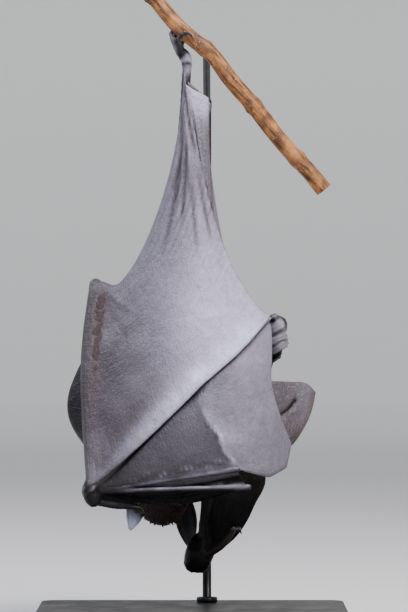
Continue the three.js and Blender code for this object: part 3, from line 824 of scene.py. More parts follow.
# Lines of the outer wing's skin, from its tension over the bones and the belly.
TENSION = (
    Crease(((6.5, -60, 194), (12, -60, 176), (20, -60, 158), (28, -60, 143), (35, -60, 131)), 5.5, 1.2, 0.2),
    Crease(((9, -60, 192), (24, -55, 176), (38, -50, 166)), 5, 0.6, 0.3),
    Crease(((18, -60, 164), (21, -60, 158), (24, -60, 152)), 3.4, 1.3, 0.4),
    Crease(((20, -60, 158), (34, -55, 150), (52, -40, 142)), 7, 0.7, 0.35),
    Crease(((12, -60, 154), (2, -60, 149), (-8, -60, 146)), 5, -0.8, 0.35),
    Crease(((30, -60, 140), (24, -60, 137), (14, -60, 136)), 2.6, 0.5, 0.35),
)
TENT_LINE = Crease(((6, 0, 182), (12, 0, 168), (20.5, 0, 157.5), (26, 0, 143.5), (36, 0, 130.5)), 1.9, 1.3, 0.3)
ANKLE_LINES = (
    Crease(((-7, 0, 437), (-4, 0, 412), (-1, 0, 396), (3, 0, 378)), 1.3, -2.0, 0.12),
    Crease(((-9, 0, 430), (-8.5, 0, 385), (-15, 0, 335)), 1.6, -1.9, 0.2),
    Crease(((-5, 0, 420), (-2.5, 0, 380), (0, 0, 335)), 1.5, 1.5, 0.2),
    Crease(((-11, 0, 415), (-14, 0, 370), (-24, 0, 325)), 1.6, 1.4, 0.2),
    Crease(((-4, 0, 396), (-6, 0, 356), (-9, 0, 318)), 1.6, -1.4, 0.25),
    Crease(((0, 0, 405), (5, 0, 365), (12, 0, 322)), 1.5, 1.2, 0.25),
    Crease(((-1, 0, 372), (1, 0, 335), (5, 0, 290)), 2.0, -0.7, 0.35),
    Crease(((-9, 0, 372), (-16, 0, 330), (-26, 0, 290)), 2.0, -0.7, 0.35),
    Crease(((4, 0, 372), (9, 0, 340), (17, 0, 305)), 1.6, -0.9, 0.3),
)
ELBOW_LINES = (
    Crease(((-74, 0, 268), (-60, 0, 262), (-44, 0, 250)), 3, 0.8, 0.25),
    Crease(((-74, 0, 262), (-62, 0, 246), (-50, 0, 226)), 3, -0.6, 0.25),
    Crease(((-66, 0, 272), (-50, 0, 276), (-36, 0, 290)), 3, -0.5, 0.3),
)


@dataclass(frozen=True)
class Wing:
    """One folded wing: its bones under skin, and its membranes."""

    form: WingForm
    limb_sides: int = 20

    def shells(self) -> list[Shell]:
        """Every shell of the wing's skin."""
        made = [self.body_membrane(), self.hand_membrane(), self.shoulder_membrane()]
        made += [self.forearm(), self.upper_arm(), self.wrist(), self.elbow(), self.thumb(), *self.fingers()]
        if self.left:
            made += [self.finger_fold(), self.thumb_web(), self.tip_membrane()]
        if self.form.flap:
            made.append(self.loose_flap())
        return made

    @property
    def left(self) -> bool:
        """Whether this is the outer wing, the bat's left one."""
        return self.form.side == "left"

    def tone(self, points: Array) -> Array:
        """The wing skin's colour at each place, with painted light over the middle of the outer wing and
        painted shade over the low part of the inner wing.
        """
        across, _, level = points.T
        if self.form.dark:
            # painted shade: the inner wing is darkened towards its low end and its far left
            outer_painted_shade = smooth(-50, -80, across) * 0.75
            shade = smooth(205, 135, level) + smooth(330, 215, level) * 0.3 + outer_painted_shade
            return blend(TINT.web, TINT.web_painted_shade, shade) * (1 + 0.08 * wobble(points, 14, 3))[:, None]
        # the middle and top of the outer wing are paler: partly skin stretched thin, mostly painted light
        stretched_and_lit = np.maximum(bell(across - 22, 56) * bell(level - 246, 84), smooth(330, 410, level) * 0.25)
        colour = blend(TINT.web, TINT.web_pale, stretched_and_lit * (0.95 + 0.1 * wobble(points, 11, 9)))
        scurf = smooth(6, -66, across) * smooth(340, 220, level)
        low = smooth(186, 128, level) * smooth(48, 4, across)
        brown = np.maximum(scurf, low * 0.25) * (0.78 + 0.2 * wobble(points, 9, 5))
        colour = blend(colour, TINT.web_brown, brown)
        # the outer side of the forearm is coloured darker
        colour = blend(colour, TINT.web_brown * 0.55, 0.8 * self.darker_outer_side(points))
        colour = blend(colour, TINT.arm_fur, self.streak(points) * (0.6 + 0.3 * wobble(points, 5, 13)))
        return colour * (1 + 0.05 * wobble(points, 22, 4) + 0.05 * wobble(points, 5, 8))[:, None]

    def along_arm(self, points: Array) -> tuple[Array, Array, Array]:
        """How far each place is inward of the forearm, its share of the length, and 1 on the arm's front."""
        path = even(self.form.forearm(), 60)
        far, share = to_path(points, path)
        inward = points[:, 0] - np.interp(share, np.linspace(0, 1, 60), path[:, 0])
        return inward, share, smooth(20, 12, far) * smooth(0.0, 0.1, share) * (points[:, 1] < 40)

    def streak(self, points: Array) -> Array:
        """1 in the short brown hair along the forearm's upper half, fading out beside it."""
        inward, share, on_arm = self.along_arm(points)
        return bell(inward - 6, 6) * smooth(0.8, 0.2, share) * on_arm

    def darker_outer_side(self, points: Array) -> Array:
        """1 on the dark outer side of the forearm."""
        inward, share, on_arm = self.along_arm(points)
        return smooth(8, -2, inward) * smooth(1.0, 0.55, share) * on_arm

    def pleats(self, points: Array, around: Array) -> Array:
        """Fine folds that fan out from the ankle, as waves between -1 and 1 that die out over the belly."""
        depth = 0.6 + 0.6 * wobble(points * vec(1, 1, 0.2), 8, 16)
        return np.sin(around * 190 + 1.6 * wobble(points, 60, 15)) * depth * smooth(262, 375, points[:, 2])

    def front(self) -> Surface:
        """The outer side of the body membrane, from the fold to the fifth finger."""
        form = self.form
        return patch(
            bezier(form.ankle, form.fold_handles, form.elbow),
            backwards(form.fifth()),
            backwards(bezier(form.tip_5, form.trailing_handles, form.ankle)),
            form.forearm(),
            form.front_bulges,
        )

    def loose_flap(self) -> Shell:
        """A loose flap of wing skin that hangs beside the forearm."""
        front, flap = self.front(), self.form.flap

        def root(t: Array) -> Array:
            """The line in the membrane that the flap hangs from."""
            return front(0.84 + 0.13 * smooth(0.6, 1, t), 0.42 + 0.54 * t)

        surface = bridge(root, line(*flap))
        made = sheet(surface, Grid(38, 20), OUT, lambda p: 0.7 * wobble(p.points, 15, 71) * smooth(0, 0.3, p.v))
        # painted shade: the flap is near black, browner towards its top
        brown = smooth(96, 150, made.points[:, 2]) * (0.5 + 0.3 * wobble(made.points, 8, 72))
        return dress(made, blend(TINT.web_painted_shade, linear("#4a3a30"), brown), leather=1.0)

    def body_membrane(self) -> Shell:
        """The skin from the flank to the fold, and from the fold round the belly to the fifth finger."""
        form, front = self.form, self.front()
        fold = bezier(form.ankle, form.fold_handles, form.elbow)
        armpit = tuple(vec(*form.elbow) * 0.06 + vec(*form.shoulder) * 0.94)
        inner, outer = line(form.ankle, form.flank[0]), line(form.elbow, armpit)
        back = patch(fold, line(*form.flank), inner, outer, form.back_bulges)
        columns, rows = form.body_grid.across, form.back_rows + form.body_grid.down
        at_fold = form.back_rows / rows
        forearm, fifth = even(form.forearm(), 60), form.fifth()(np.linspace(0, 1, 80))

        def surface(u: Array, v: Array) -> Array:
            """The two patches as one, rounded over the fold."""
            behind, before = np.clip(1 - v / at_fold, 0, 1), np.clip((v - at_fold) / (1 - at_fold), 0, 1)
            made = np.where((v < at_fold)[:, None], back(u, behind), front(u, before))
            made = made.reshape(rows + 1, columns + 1, 3)
            near = bell(np.linspace(0, 1, rows + 1) - at_fold, 0.05)[1:-1, None, None]
            for _ in range(6):
                middle = (made[:-2] + made[2:]) / 2
                made[1:-1] = made[1:-1] * (1 - near * 0.8) + middle * near * 0.8
            return made.reshape(-1, 3)

        def relief(places: Places) -> tuple[Array, Array]:
            """Swells over the arm and the finger, and puckers towards the ankle."""
            points, in_front = places.points, smooth(at_fold - 0.02, at_fold + 0.04, places.v)
            to_arm, share = to_path(points, forearm)
            radius = taper(*form.forearm_radius)(share)
            over_arm = radius * bell(to_arm, 1.35 * radius) * in_front
            far, share = to_path(points, fifth)
            over_finger = (2.7 * bell(far, 3.2) + 1.5 * bell(far, 10)) * in_front
            lift = over_arm + over_finger
            if self.left:
                for crease in (*ANKLE_LINES, *ELBOW_LINES):
                    lift = lift + crease.lift(points) * in_front
                lift = lift + 0.4 * self.pleats(points, places.v) * in_front
                across = bell(far - 5.5, 4) * smooth(0.08, 0.3, share) * smooth(0.75, 0.5, share)
                lift = lift + 0.2 * across * np.sin(share * 120 + 2 * wobble(points, 12, 2)) * in_front
            lift = lift + 0.35 * wobble(points, 26, 11) * in_front * smooth(2, 16, far)
            behind = radius * bell(to_arm, 1.2 * radius) * in_front
            return lift, behind - (lift - over_arm - over_finger)

        def inside(v: Array) -> Array:
            """1 away from the finger and the fold, so that the finger's joints don't crease the sheet."""
            return smooth(at_fold, at_fold + 0.08, v) * smooth(1, 0.93, v)

        made = sheet(eased(surface, inside, 150), Grid(columns, rows), OUT, relief)
        if self.left:
            return self.outer_shade_sheen_and_hair(made, at_fold, fifth)
        return dress(made, self.tone(made.points), leather=1.0)

    def outer_shade_sheen_and_hair(self, made: Shell, at_fold: float, fifth: Array) -> Shell:
        """Paints shade into the folds of the outer wing and highlights onto their crests, paints sheen beside
        the fifth finger and grows the streak of hair.

        Args:
            made: the left body membrane.
            at_fold: the share of its height where it is folded.
            fifth: places along the fifth finger.

        Returns:
            The membrane, dressed.
        """
        elbow, tint, u, v = vec(*self.form.elbow), self.tone(made.points), made.values["u"], made.values["v"]
        front = made.values["front"]
        # painted shade in the grooves and the valleys of the pleats, and painted highlights on the pleats'
        # crests
        grooves = sum(c.near(made.points) for c in ANKLE_LINES if c.height < 0)
        waves = self.pleats(made.points, v) * front
        painted_fold_shade = np.clip(-waves, 0, 1) * 0.55 + np.clip(grooves, 0, 1) * 0.75
        tint = blend(tint * (1 + 0.22 * np.clip(waves, 0, 1))[:, None], TINT.web_brown, painted_fold_shade)
        made.points[:, 2] += 7 * bell(beside(made, elbow[0] + 6, elbow[2] - 2), 8)
        far, share = to_path(made.points, fifth)
        # painted sheen on the skin beside the fifth finger, and a painted highlight above its knuckle
        painted_sheen = bell(far - 4.5, 4 + 8 * share) * smooth(0.02, 0.55, share) * smooth(1.04, 0.86, share)
        painted_sheen = painted_sheen * (0.66 + 0.14 * wobble(made.points, 6, 10)) + 0.3 * bell(beside(made, 4, 204), 7)
        tint = blend(tint, TINT.web_glare, painted_sheen * front)
        streak = self.streak(made.points)
        coat = 1.9 * smooth(0.35, 1.0, streak * (1 + 0.35 * wobble(made.points, 2.5, 21)))
        coat = coat * (front * smooth(at_fold, at_fold + 0.03, v))
        pelt = blend(tint, TINT.arm_fur, 0.45 * streak)
        flow, fitted = unit(vec(*self.form.wrist) - elbow), Patchwork.STREAK.fit(u, v)
        return dress(made, tint, coat, flow, pelt, 1.0, fitted)

    def hand_membrane(self) -> Shell:
        """The skin between the fifth finger and the finger bundle."""
        form = self.form
        high, last = jointed(form.hand_high, form.hand_shares), line(*form.hand_last)
        surface = patch(form.fifth(), high, corner(form.wrist), last, (Bulge(form.hand_bulge),))
        fifth = form.fifth()(np.linspace(0, 1, 80))
        bundle = line(form.wrist, form.knuckle_4)(np.linspace(0, 1, 60))

        def gathers(points: Array, run: Array) -> Array:
            """Puckers across the skin above the bundle, as waves."""
            return np.sin(run * 190 + 2.5 * wobble(points, 15, 6))

        def relief(places: Places) -> Array:
            """Dips behind the fifth finger and puckers above the bundle."""
            points = places.points
            far, share = to_path(points, fifth)
            lift = -2.6 * bell(far - 1, 3.0) * smooth(0.03, 0.2, share)
            if self.left:
                for crease in (*TENSION, TENT_LINE):
                    lift = lift + crease.lift(points) * smooth(0, 5, far)
                edge, run = to_path(points, bundle)
                pucker = bell(edge - 5, 5) * smooth(0.12, 0.35, run) * smooth(1.0, 0.8, run)
                lift = lift + 0.55 * pucker * gathers(points, run)
                lift = lift + 0.3 * wobble(points, 17, 12) * smooth(3, 14, far) * smooth(3, 14, edge)
            return lift

        surface = eased(surface, lambda v: smooth(0, 0.1, v) * smooth(1, 0.92, v), 260)
        made = sheet(surface, form.hand_grid, OUT, relief)
        tint = self.tone(made.points)
        far, share = to_path(made.points, fifth)
        if self.left:
            edge, run = to_path(made.points, bundle)
            # painted highlights on the crests of the puckers above the bundle
            crests = smooth(0.3, 0.95, gathers(made.points, run))
            pucker = bell(edge - 5, 5) * smooth(0.2, 0.4, run) * smooth(1.0, 0.85, run)
            puckers = 0.8 * pucker * crests * smooth(-0.3, 0.9, wobble(made.points, 5, 20))
            tint = self.tent_light_and_shade(made.points, tint, puckers)
        shadow = bell(far - 1.6, 2.6) * smooth(0.02, 0.1, share) * (1 - 0.5 * smooth(0.8, 1, share))
        return dress(made, blend(tint, TINT.web_painted_shade, shadow), leather=1.0)

    def tent_light_and_shade(self, points: Array, tint: Array, puckers: Array) -> Array:
        """Paints light and shade onto the skin that is drawn up like a tent below the fifth finger's knuckle,
        and darkens the skin towards the wrist.

        Args:
            points: the places on the outer hand membrane.
            tint: its colour so far.
            puckers: 1 on the crests of the puckers above the bundle, where painted highlights go.

        Returns:
            The colour at each place.
        """
        x, _, z = points.T
        tint = tint * (0.74 - 0.36 * smooth(50, 14, x))[:, None]
        # painted shade on the left side of the tent-like fold, painted light on its right side and a painted
        # highlight along its crest
        crest = np.array(TENT_LINE.path)[::-1]
        aside = x - np.interp(z, crest[:, 2], crest[:, 0]) + 0.9 * wobble(points, 4, 19)
        speckle = 0.55 + 0.45 * smooth(-0.2, 0.5, wobble(points, 1.6, 18))
        hollow = smooth(1.0, -2.5, aside) * bell(aside, 13) * bell(z - 152, 17)
        tint = blend(tint, TINT.web_brown * 0.5, hollow * 0.6 * speckle)
        tint = blend(tint, TINT.web_pale, 0.42 * smooth(-2.5, 1.5, aside) * bell(aside, 19) * bell(z - 160, 26))
        gleam = bell(z - 157, 4) + bell(z - 135, 7) * 0.8 + 0.25
        tint = blend(tint, linear("#d8d5de"), 0.5 * bell(aside - 0.6, 1.6) * gleam * smooth(184, 170, z))
        tint = blend(tint, TINT.web_pale, puckers)
        # a painted shadow in a wedge under the fifth finger's knuckle
        below = (x - z) * 0.707 + 135.2
        return blend(tint, TINT.web_painted_shade, 1.3 * bell(below - 4.6, 2.3) * bell((x + z) * 0.707 - 134, 11))

    def shoulder_membrane(self) -> Shell:
        """The skin in front of the arm, from the shoulder across the elbow's bend to the wrist."""
        form = self.form
        high, last = line(form.elbow, form.shoulder), line(form.wrist, form.neck_edge, form.shoulder)
        surface = patch(form.forearm(), high, corner(form.elbow), last, form.shoulder_bulges)

        def sag(places: Places) -> Array:
            """A soft sag and a few folds towards the wrist."""
            return 0.7 * wobble(places.points, 16, 21) * smooth(0.05, 0.2, places.v) * smooth(1, 0.85, places.v)

        made = sheet(surface, Grid(44, 20, 0.03), (0, 1, 0), sag)
        furred = smooth(0.62, 0.95, made.values["v"]) * (1 - smooth(0.75, 1, made.values["u"]) * 0.4)
        # painted shade: the sliver of skin in front of the arm is darkened nearly to black
        tint = blend(self.tone(made.points), TINT.web_painted_shade, 0.88)
        return dress(made, blend(tint, TINT.back_fur, furred), leather=1.0)

    def fold_rim(self, t: Array) -> Array:
        """The third metacarpal's line, with the folded skin sagging below it."""
        wrist, knuckle = vec(*self.form.wrist), vec(*self.form.knuckle_3)
        sag = np.sin(math.pi * np.minimum(t, 0.98))[:, None]
        return wrist + (knuckle - wrist) * t[:, None] + vec(0, 6, -13) * sag

    def thumb_web(self) -> Shell:
        """The small web between the thumb and the folded skin of the fingers."""
        low, rim = stretch(line(*self.form.thumb), 0.02, 0.94), stretch(self.fold_rim, 0.01, 0.3)
        surface = bridge(low, lambda t: rim(t) + vec(0, 1.2, 3.5))
        # painted shade: the web is near black under the bundle
        return dress(sheet(surface, Grid(30, 12), OUT), TINT.web_painted_shade, leather=1.0)

    def finger_fold(self) -> Shell:
        """The skin folded between the third and fourth metacarpals, pleated along the bundle."""

        def pleats(places: Places) -> Array:
            """Pleats that run along the fingers."""
            waves = np.sin(places.v * 26 + 1.2 * wobble(places.points, 30, 14))
            return 0.7 * waves * smooth(0, 0.2, places.u)

        surface = bridge(line(self.form.wrist, self.form.knuckle_4), self.fold_rim, (Bulge((0, 3, 0)),))
        made = sheet(surface, Grid(80, 18), OUT, pleats)
        # painted shade, darker towards the sagging rim of the fold under the bundle
        shade = smooth(0.0, 0.35, made.values["v"]) * 0.55 + 0.45
        return dress(made, blend(self.tone(made.points), TINT.web_painted_shade, shade), leather=1.0)

    def tip_membrane(self) -> Shell:
        """The wing tip, folded back behind the free border."""
        top = ((60, -22, 198), (78, -10, 197), (91, -4, 195.4), (98.4, 0, 188.5))
        side = ((98.4, 0, 188.5), (95, -4, 174), (86.6, -12, 157), (78.5, -22.5, 146))
        hidden = ((60, -22, 198), (62, -24, 172), (68, -26, 148))
        surface = patch(line(*top), line(hidden[2], side[3]), line(*hidden), line(*side), (Bulge((0, -2, 0)),))
        fold = Crease(((84, 0, 185), (78, 0, 177), (69, 0, 170)), 1.7, -1.8, 0.12)
        tuck = Crease(((66, 0, 192), (72, 0, 176), (76, 0, 160)), 2.4, 1.1, 0.2)

        def relief(places: Places) -> tuple[Array, Array]:
            """Rounds over the finger that ends in it, and creases across."""
            lift = fold.lift(places.points) + tuck.lift(places.points) + 0.5 * wobble(places.points, 9, 17)
            rim = smooth(0.75, 1, places.u) * 0.5
            return lift + rim, -lift + rim

        made = sheet(surface, Grid(36, 30), OUT, relief, 1.5)
        x, _, z = made.points.T
        tint = blend(self.tone(made.points), TINT.web_brown, 0.9 - 0.45 * smooth(80, 96, x))
        tint = blend(tint, linear("#4d3b36"), smooth(0.72, 1, made.values["u"]) * 0.7)
        # painted shade in the crease, and the skin darker towards its low end
        shade = np.maximum(fold.near(made.points), smooth(166, 150, z) * 0.6)
        return dress(made, blend(tint, TINT.web_painted_shade, shade), leather=1.0)

    def forearm(self) -> Shell:
        """The forearm: a long bone with its muscle towards the elbow."""
        form = self.form
        made, _ = limb(form.forearm(), 64, self.limb_sides + 2, form.forearm_radius, lambda s, r: r * 0.97)
        along, turn = made.values["along"], made.values["turn"]
        made.values["web"] = np.stack([along * 180, turn * 35, np.zeros(len(along))], 1)
        # the inner wing's forearm gets painted shade
        return dress(made, blend(self.tone(made.points), TINT.web_painted_shade, form.dark * 1.6), leather=0.6)

    def upper_arm(self) -> Shell:
        """The furred upper arm."""
        made, path = limb(line(self.form.shoulder, self.form.elbow), 30, self.limb_sides, (10, 8.4, 6.2, 5))
        along = made.values["along"]
        pelt = blend(TINT.mantle_fur, TINT.back_fur, smooth(0.1, 0.6, along))
        place = (Patchwork.ARM_LEFT if self.left else Patchwork.ARM_RIGHT).fit(made.values["turn"], along)
        coat, flow = 6.5 * smooth(0.86, 0.6, along), unit(path[-1] - path[0])
        return dress(made, pelt * 0.5, coat, flow, pelt, place=place)

    def elbow(self) -> Shell:
        """The bare point of the elbow, in folds of loose skin."""
        form = self.form
        if not self.left:
            return self.elbow_cuff()
        centre = vec(*form.elbow)
        reach = unit(centre - (vec(*form.shoulder) + vec(*form.wrist)) / 2)
        path = np.linspace(centre - reach * 3, centre + reach * 1.5, 16)
        made = tube(path, np.full(16, form.forearm_radius[0] * 0.96), 28)
        made.swell(centre, 0.5 * wobble(made.points, 4.5, 31))
        tint = blend(TINT.pad * 0.7, TINT.limb, 0.5 + 0.6 * wobble(made.points, 5, 32))
        return dress(made, tint, leather=0.5)

    def elbow_cuff(self) -> Shell:
        """The right elbow, in a cuff of loose wrinkled skin."""
        way = line((65.5, 8, 247.5), (68.5, 6, 237), (68, 5, 226), (63, 7, 216))

        def lobes(shares: Array, radius: Array) -> Array:
            """Three rolls of loose skin."""
            rolls = 0.9 * bell(shares - 0.2, 0.1) + 1.4 * bell(shares - 0.56, 0.13)
            rolls = rolls + 0.9 * bell(shares - 0.87, 0.06)
            return radius + rolls

        made, path = limb(way, 60, 52, (4.4, 7.0, 7.4, 5.2), lobes)
        run = (made.points[:, 0] * 0.5 - made.points[:, 2]) * 0.74 + 2.6 * wobble(made.points, 12, 33)
        valley = smooth(0.0, 0.95, np.sin(run)) * (0.75 + 0.4 * wobble(made.points, 7, 37))
        relief = 0.45 * wobble(made.points, 4, 34) - 1.6 * valley + 0.3 * np.sin(run * 2.3)
        made.swell(made.middles(path), relief)
        tint = blend(TINT.web_pale, TINT.web, 0.85 + 0.5 * wobble(made.points, 7, 38))
        # painted shade in the valleys between the rolls, towards the cuff's lower end and in a small hollow
        dark = 0.9 * valley + smooth(0.62, 0.9, made.values["along"]) + bell(beside(made, 61.5, 246), 5.5)
        return dress(made, blend(tint, TINT.web_painted_shade, dark), leather=0.5)

    def wrist(self) -> Shell:
        """The folded wrist bones and the skin bunched round them."""
        form = self.form
        reach, centre = vec(*form.wrist_pad), vec(*form.wrist)
        way = line(tuple(centre - reach), form.wrist, tuple(centre + reach))
        made, _ = limb(way, 14, 34, form.wrist_radius, lambda s, r: r * (1.04 if form.dark else 0.97))
        knobs = 0.8 * wobble(made.points, 5.5, 41) + 0.35 * wobble(made.points, 2.4, 42)
        made.swell(centre, knobs)
        # painted shade makes the wrist near black, and painted highlights lie on the outer wrist's raised knobs
        tint = blend(TINT.limb, TINT.web_painted_shade, 0.82 + form.dark)
        return dress(made, blend(tint, TINT.pad, smooth(0.4, 1.2, knobs) * (0.5 - form.dark)), leather=0.6)

    def fingers(self) -> list[Shell]:
        """The fingers under their skin, thicker at wrist and knuckles."""
        form, made = self.form, []
        bones = (
            (line(form.wrist, form.knuckle_5), (3.4, 2.4, 2.1, 2.1, 2.9)),
            (line(form.knuckle_5, form.joint_5, form.tip_5), (2.2, 1.5, 2.1, 1.3, 0.9)),
            (line(form.wrist, form.knuckle_4), (3.4, 2.3, 1.9, 2.0, 2.8)),
            (line(form.wrist, form.knuckle_3), (3.4, 2.3, 2.0, 2.1, 2.9)),
        )
        for index, (edge, radii) in enumerate(bones):
            bumps = 1 + 0.05 * wobble(even(edge, 48), 9, 50 + index)
            shell, path = limb(edge, 48, 12, radii, lambda s, r: r * bumps)
            # painted highlight on the side of each outer bone that faces the light, away from the wrist; the
            # inner wing's bones get painted shade instead
            ridge = (unit(shell.points - shell.middles(path)) * vec(0, -0.5, 0.87)).sum(1)
            wear_and_highlight = smooth(0.35, 0.85, ridge) * smooth(0.1, 0.4, shell.values["along"])
            wear_and_highlight = wear_and_highlight * (0.7 + 0.4 * wobble(shell.points, 7, 60 + index))
            tint = blend(TINT.limb * 0.6, TINT.web_painted_shade, 0.25 + form.dark)
            made.append(dress(shell, blend(tint, TINT.web_pale, (0.8 - 1.6 * form.dark) * wear_and_highlight), leather=0.5))
        return made

    def thumb(self) -> Shell:
        """The thumb, laid along the bundle, with rings of skin."""
        radii = (3.7, 2.9, 3.1, 2.6)
        made, _ = limb(line(*self.form.thumb), 30, 16, radii, lambda s, r: r + 0.12 * np.sin(s * 60))
        # painted shade: the outer thumb is darkened under the bundle
        return dress(made, TINT.face if self.form.dark else TINT.limb * 0.35, leather=0.3)


# ------------------------------------------------------------------ trunk, head, legs and feet


def crowded(count: int, spots: Sequence[float], width: float, gain: float) -> Array:
    """Shares from 0 to 1 that crowd together near the given spots, for finer detail there."""
    fine = np.linspace(0, 1, 2000)
    weight = 1 + gain * sum(bell(fine - spot, width) for spot in spots)
    run = np.concatenate([[0], np.cumsum((weight[1:] + weight[:-1]) / 2)])
    return np.interp(np.linspace(0, run[-1], count), run, fine)


def lengthwise(turn: Array, shares: Array) -> tuple[Array, Array]:
    """The unwrap of a body made of rings: the share of a turn and the share of the length of each point."""
    across, up = np.tile(turn / 2 / math.pi, len(shares)), np.repeat(shares, len(turn))
    return np.append(across, [0, 0]), np.append(up, [0, 1])


@dataclass(frozen=True)
class Section:
    """One section through the trunk or the neck."""

    at: Point
    wide: float
    deep: float


TRUNK_SECTIONS = (
    Section((-4, 16, 334), 8, 8),
    Section((-5, 14, 322), 16, 16),
    Section((-8, 11, 300), 24, 23),
    Section((-11, 9, 268), 33, 29),
    Section((-15, 8, 232), 39, 33),
    Section((-19, 8, 196), 42, 36),
    Section((-23, 8, 166), 41, 35),
    Section((-26, 8, 146), 32, 30),
)
NECK_SECTIONS = (
    Section((-26, 9, 158), 32, 29),
    Section((-26, 9, 136), 29, 27),
    Section((-24.5, 12, 114), 24, 23),
    Section((-24, 16, 104), 19, 19),
)


@dataclass(frozen=True)
class Torso:
    """The trunk and the neck under their fur."""

    sides: int = 60
    trunk_coat: float = 9.5
    neck_coat: float = 8.5
    trunk_inset: float = 7.0
    neck_inset: float = 5.0

    def loft(self, sections: Sequence[Section], inset: float, count: int) -> tuple[Shell, Array, Array]:
        """A body through the sections, set in by the depth of the coat, and its unwrap."""
        shares, turn = np.linspace(0, 1, count), np.arange(self.sides) / self.sides * 2 * math.pi
        middles = line(*[s.at for s in sections])(shares)
        sizes = line(*[(s.wide, s.deep, s.at[2]) for s in sections])(shares)
        wide, deep = (np.maximum(sizes[:, k : k + 1] - inset, 2) for k in (0, 1))
        x, y = middles[:, :1] + np.cos(turn) * wide, middles[:, 1:2] + np.sin(turn) * deep
        made = rings(np.stack([x, y, np.repeat(middles[:, 2:], self.sides, 1)], -1))
        return made, *lengthwise(turn, shares)

    def shells(self) -> list[Shell]:
        """The trunk and the neck."""
        made = []
        for sections, inset, coat, count, box in (
            (TRUNK_SECTIONS, self.trunk_inset, self.trunk_coat, 76, Patchwork.TRUNK),
            (NECK_SECTIONS, self.neck_inset, self.neck_coat, 26, Patchwork.NECK),
        ):
            shell, across, up = self.loft(sections, inset, count)
            shell.outward()
            spine = unit((shell.points - vec(-19, 8, 0)) * vec(1, 1, 0))
            blades = bell(shell.points[:, 2] - 178, 22) * bell(np.abs(spine[:, 0]) - 0.6, 0.3)
            blades = blades * (spine[:, 1] > 0)
            shell.points += spine * (1.6 * blades + 0.7 * wobble(shell.points, 34, 81))[:, None]
            mantle = smooth(215, 165, shell.points[:, 2] + 6 * wobble(shell.points, 18, 82))
            uneven = (1 + 0.12 * wobble(shell.points, 9, 83))[:, None]
            pelt = blend(TINT.back_fur, TINT.mantle_fur, mantle) * uneven
            made.append(dress(shell, pelt * 0.45, coat, (0, 0, 1), pelt, place=box.fit(across, up)))
        return made


class Patchwork(Enum):
    """The corner (u, v) and size that each furred part has on the unwrap of the whole skin."""

    TRUNK = (0.0, 0.0, 0.5, 0.48)
    NECK = (0.0, 0.5, 0.5, 0.14)
    HEAD = (0.0, 0.66, 0.5, 0.33)
    THIGH_LEFT = (0.52, 0.0, 0.2, 0.3)
    THIGH_RIGHT = (0.75, 0.0, 0.2, 0.3)
    ARM_LEFT = (0.52, 0.33, 0.2, 0.3)
    ARM_RIGHT = (0.75, 0.33, 0.2, 0.3)
    STREAK = (0.82, 0.66, 0.13, 0.3)

    def fit(self, across: Array, up: Array) -> Array:
        """Shares of the part's own unwrap as places on the whole unwrap."""
        u, v, width, height = self.value
        return np.stack([u + width * across, v + height * up], 1)


@dataclass(frozen=True)
class HeadSection:
    """One section through the head."""

    reach: float
    wide: float
    high: float
    lift: float
    coat: float  # depth of the fur there


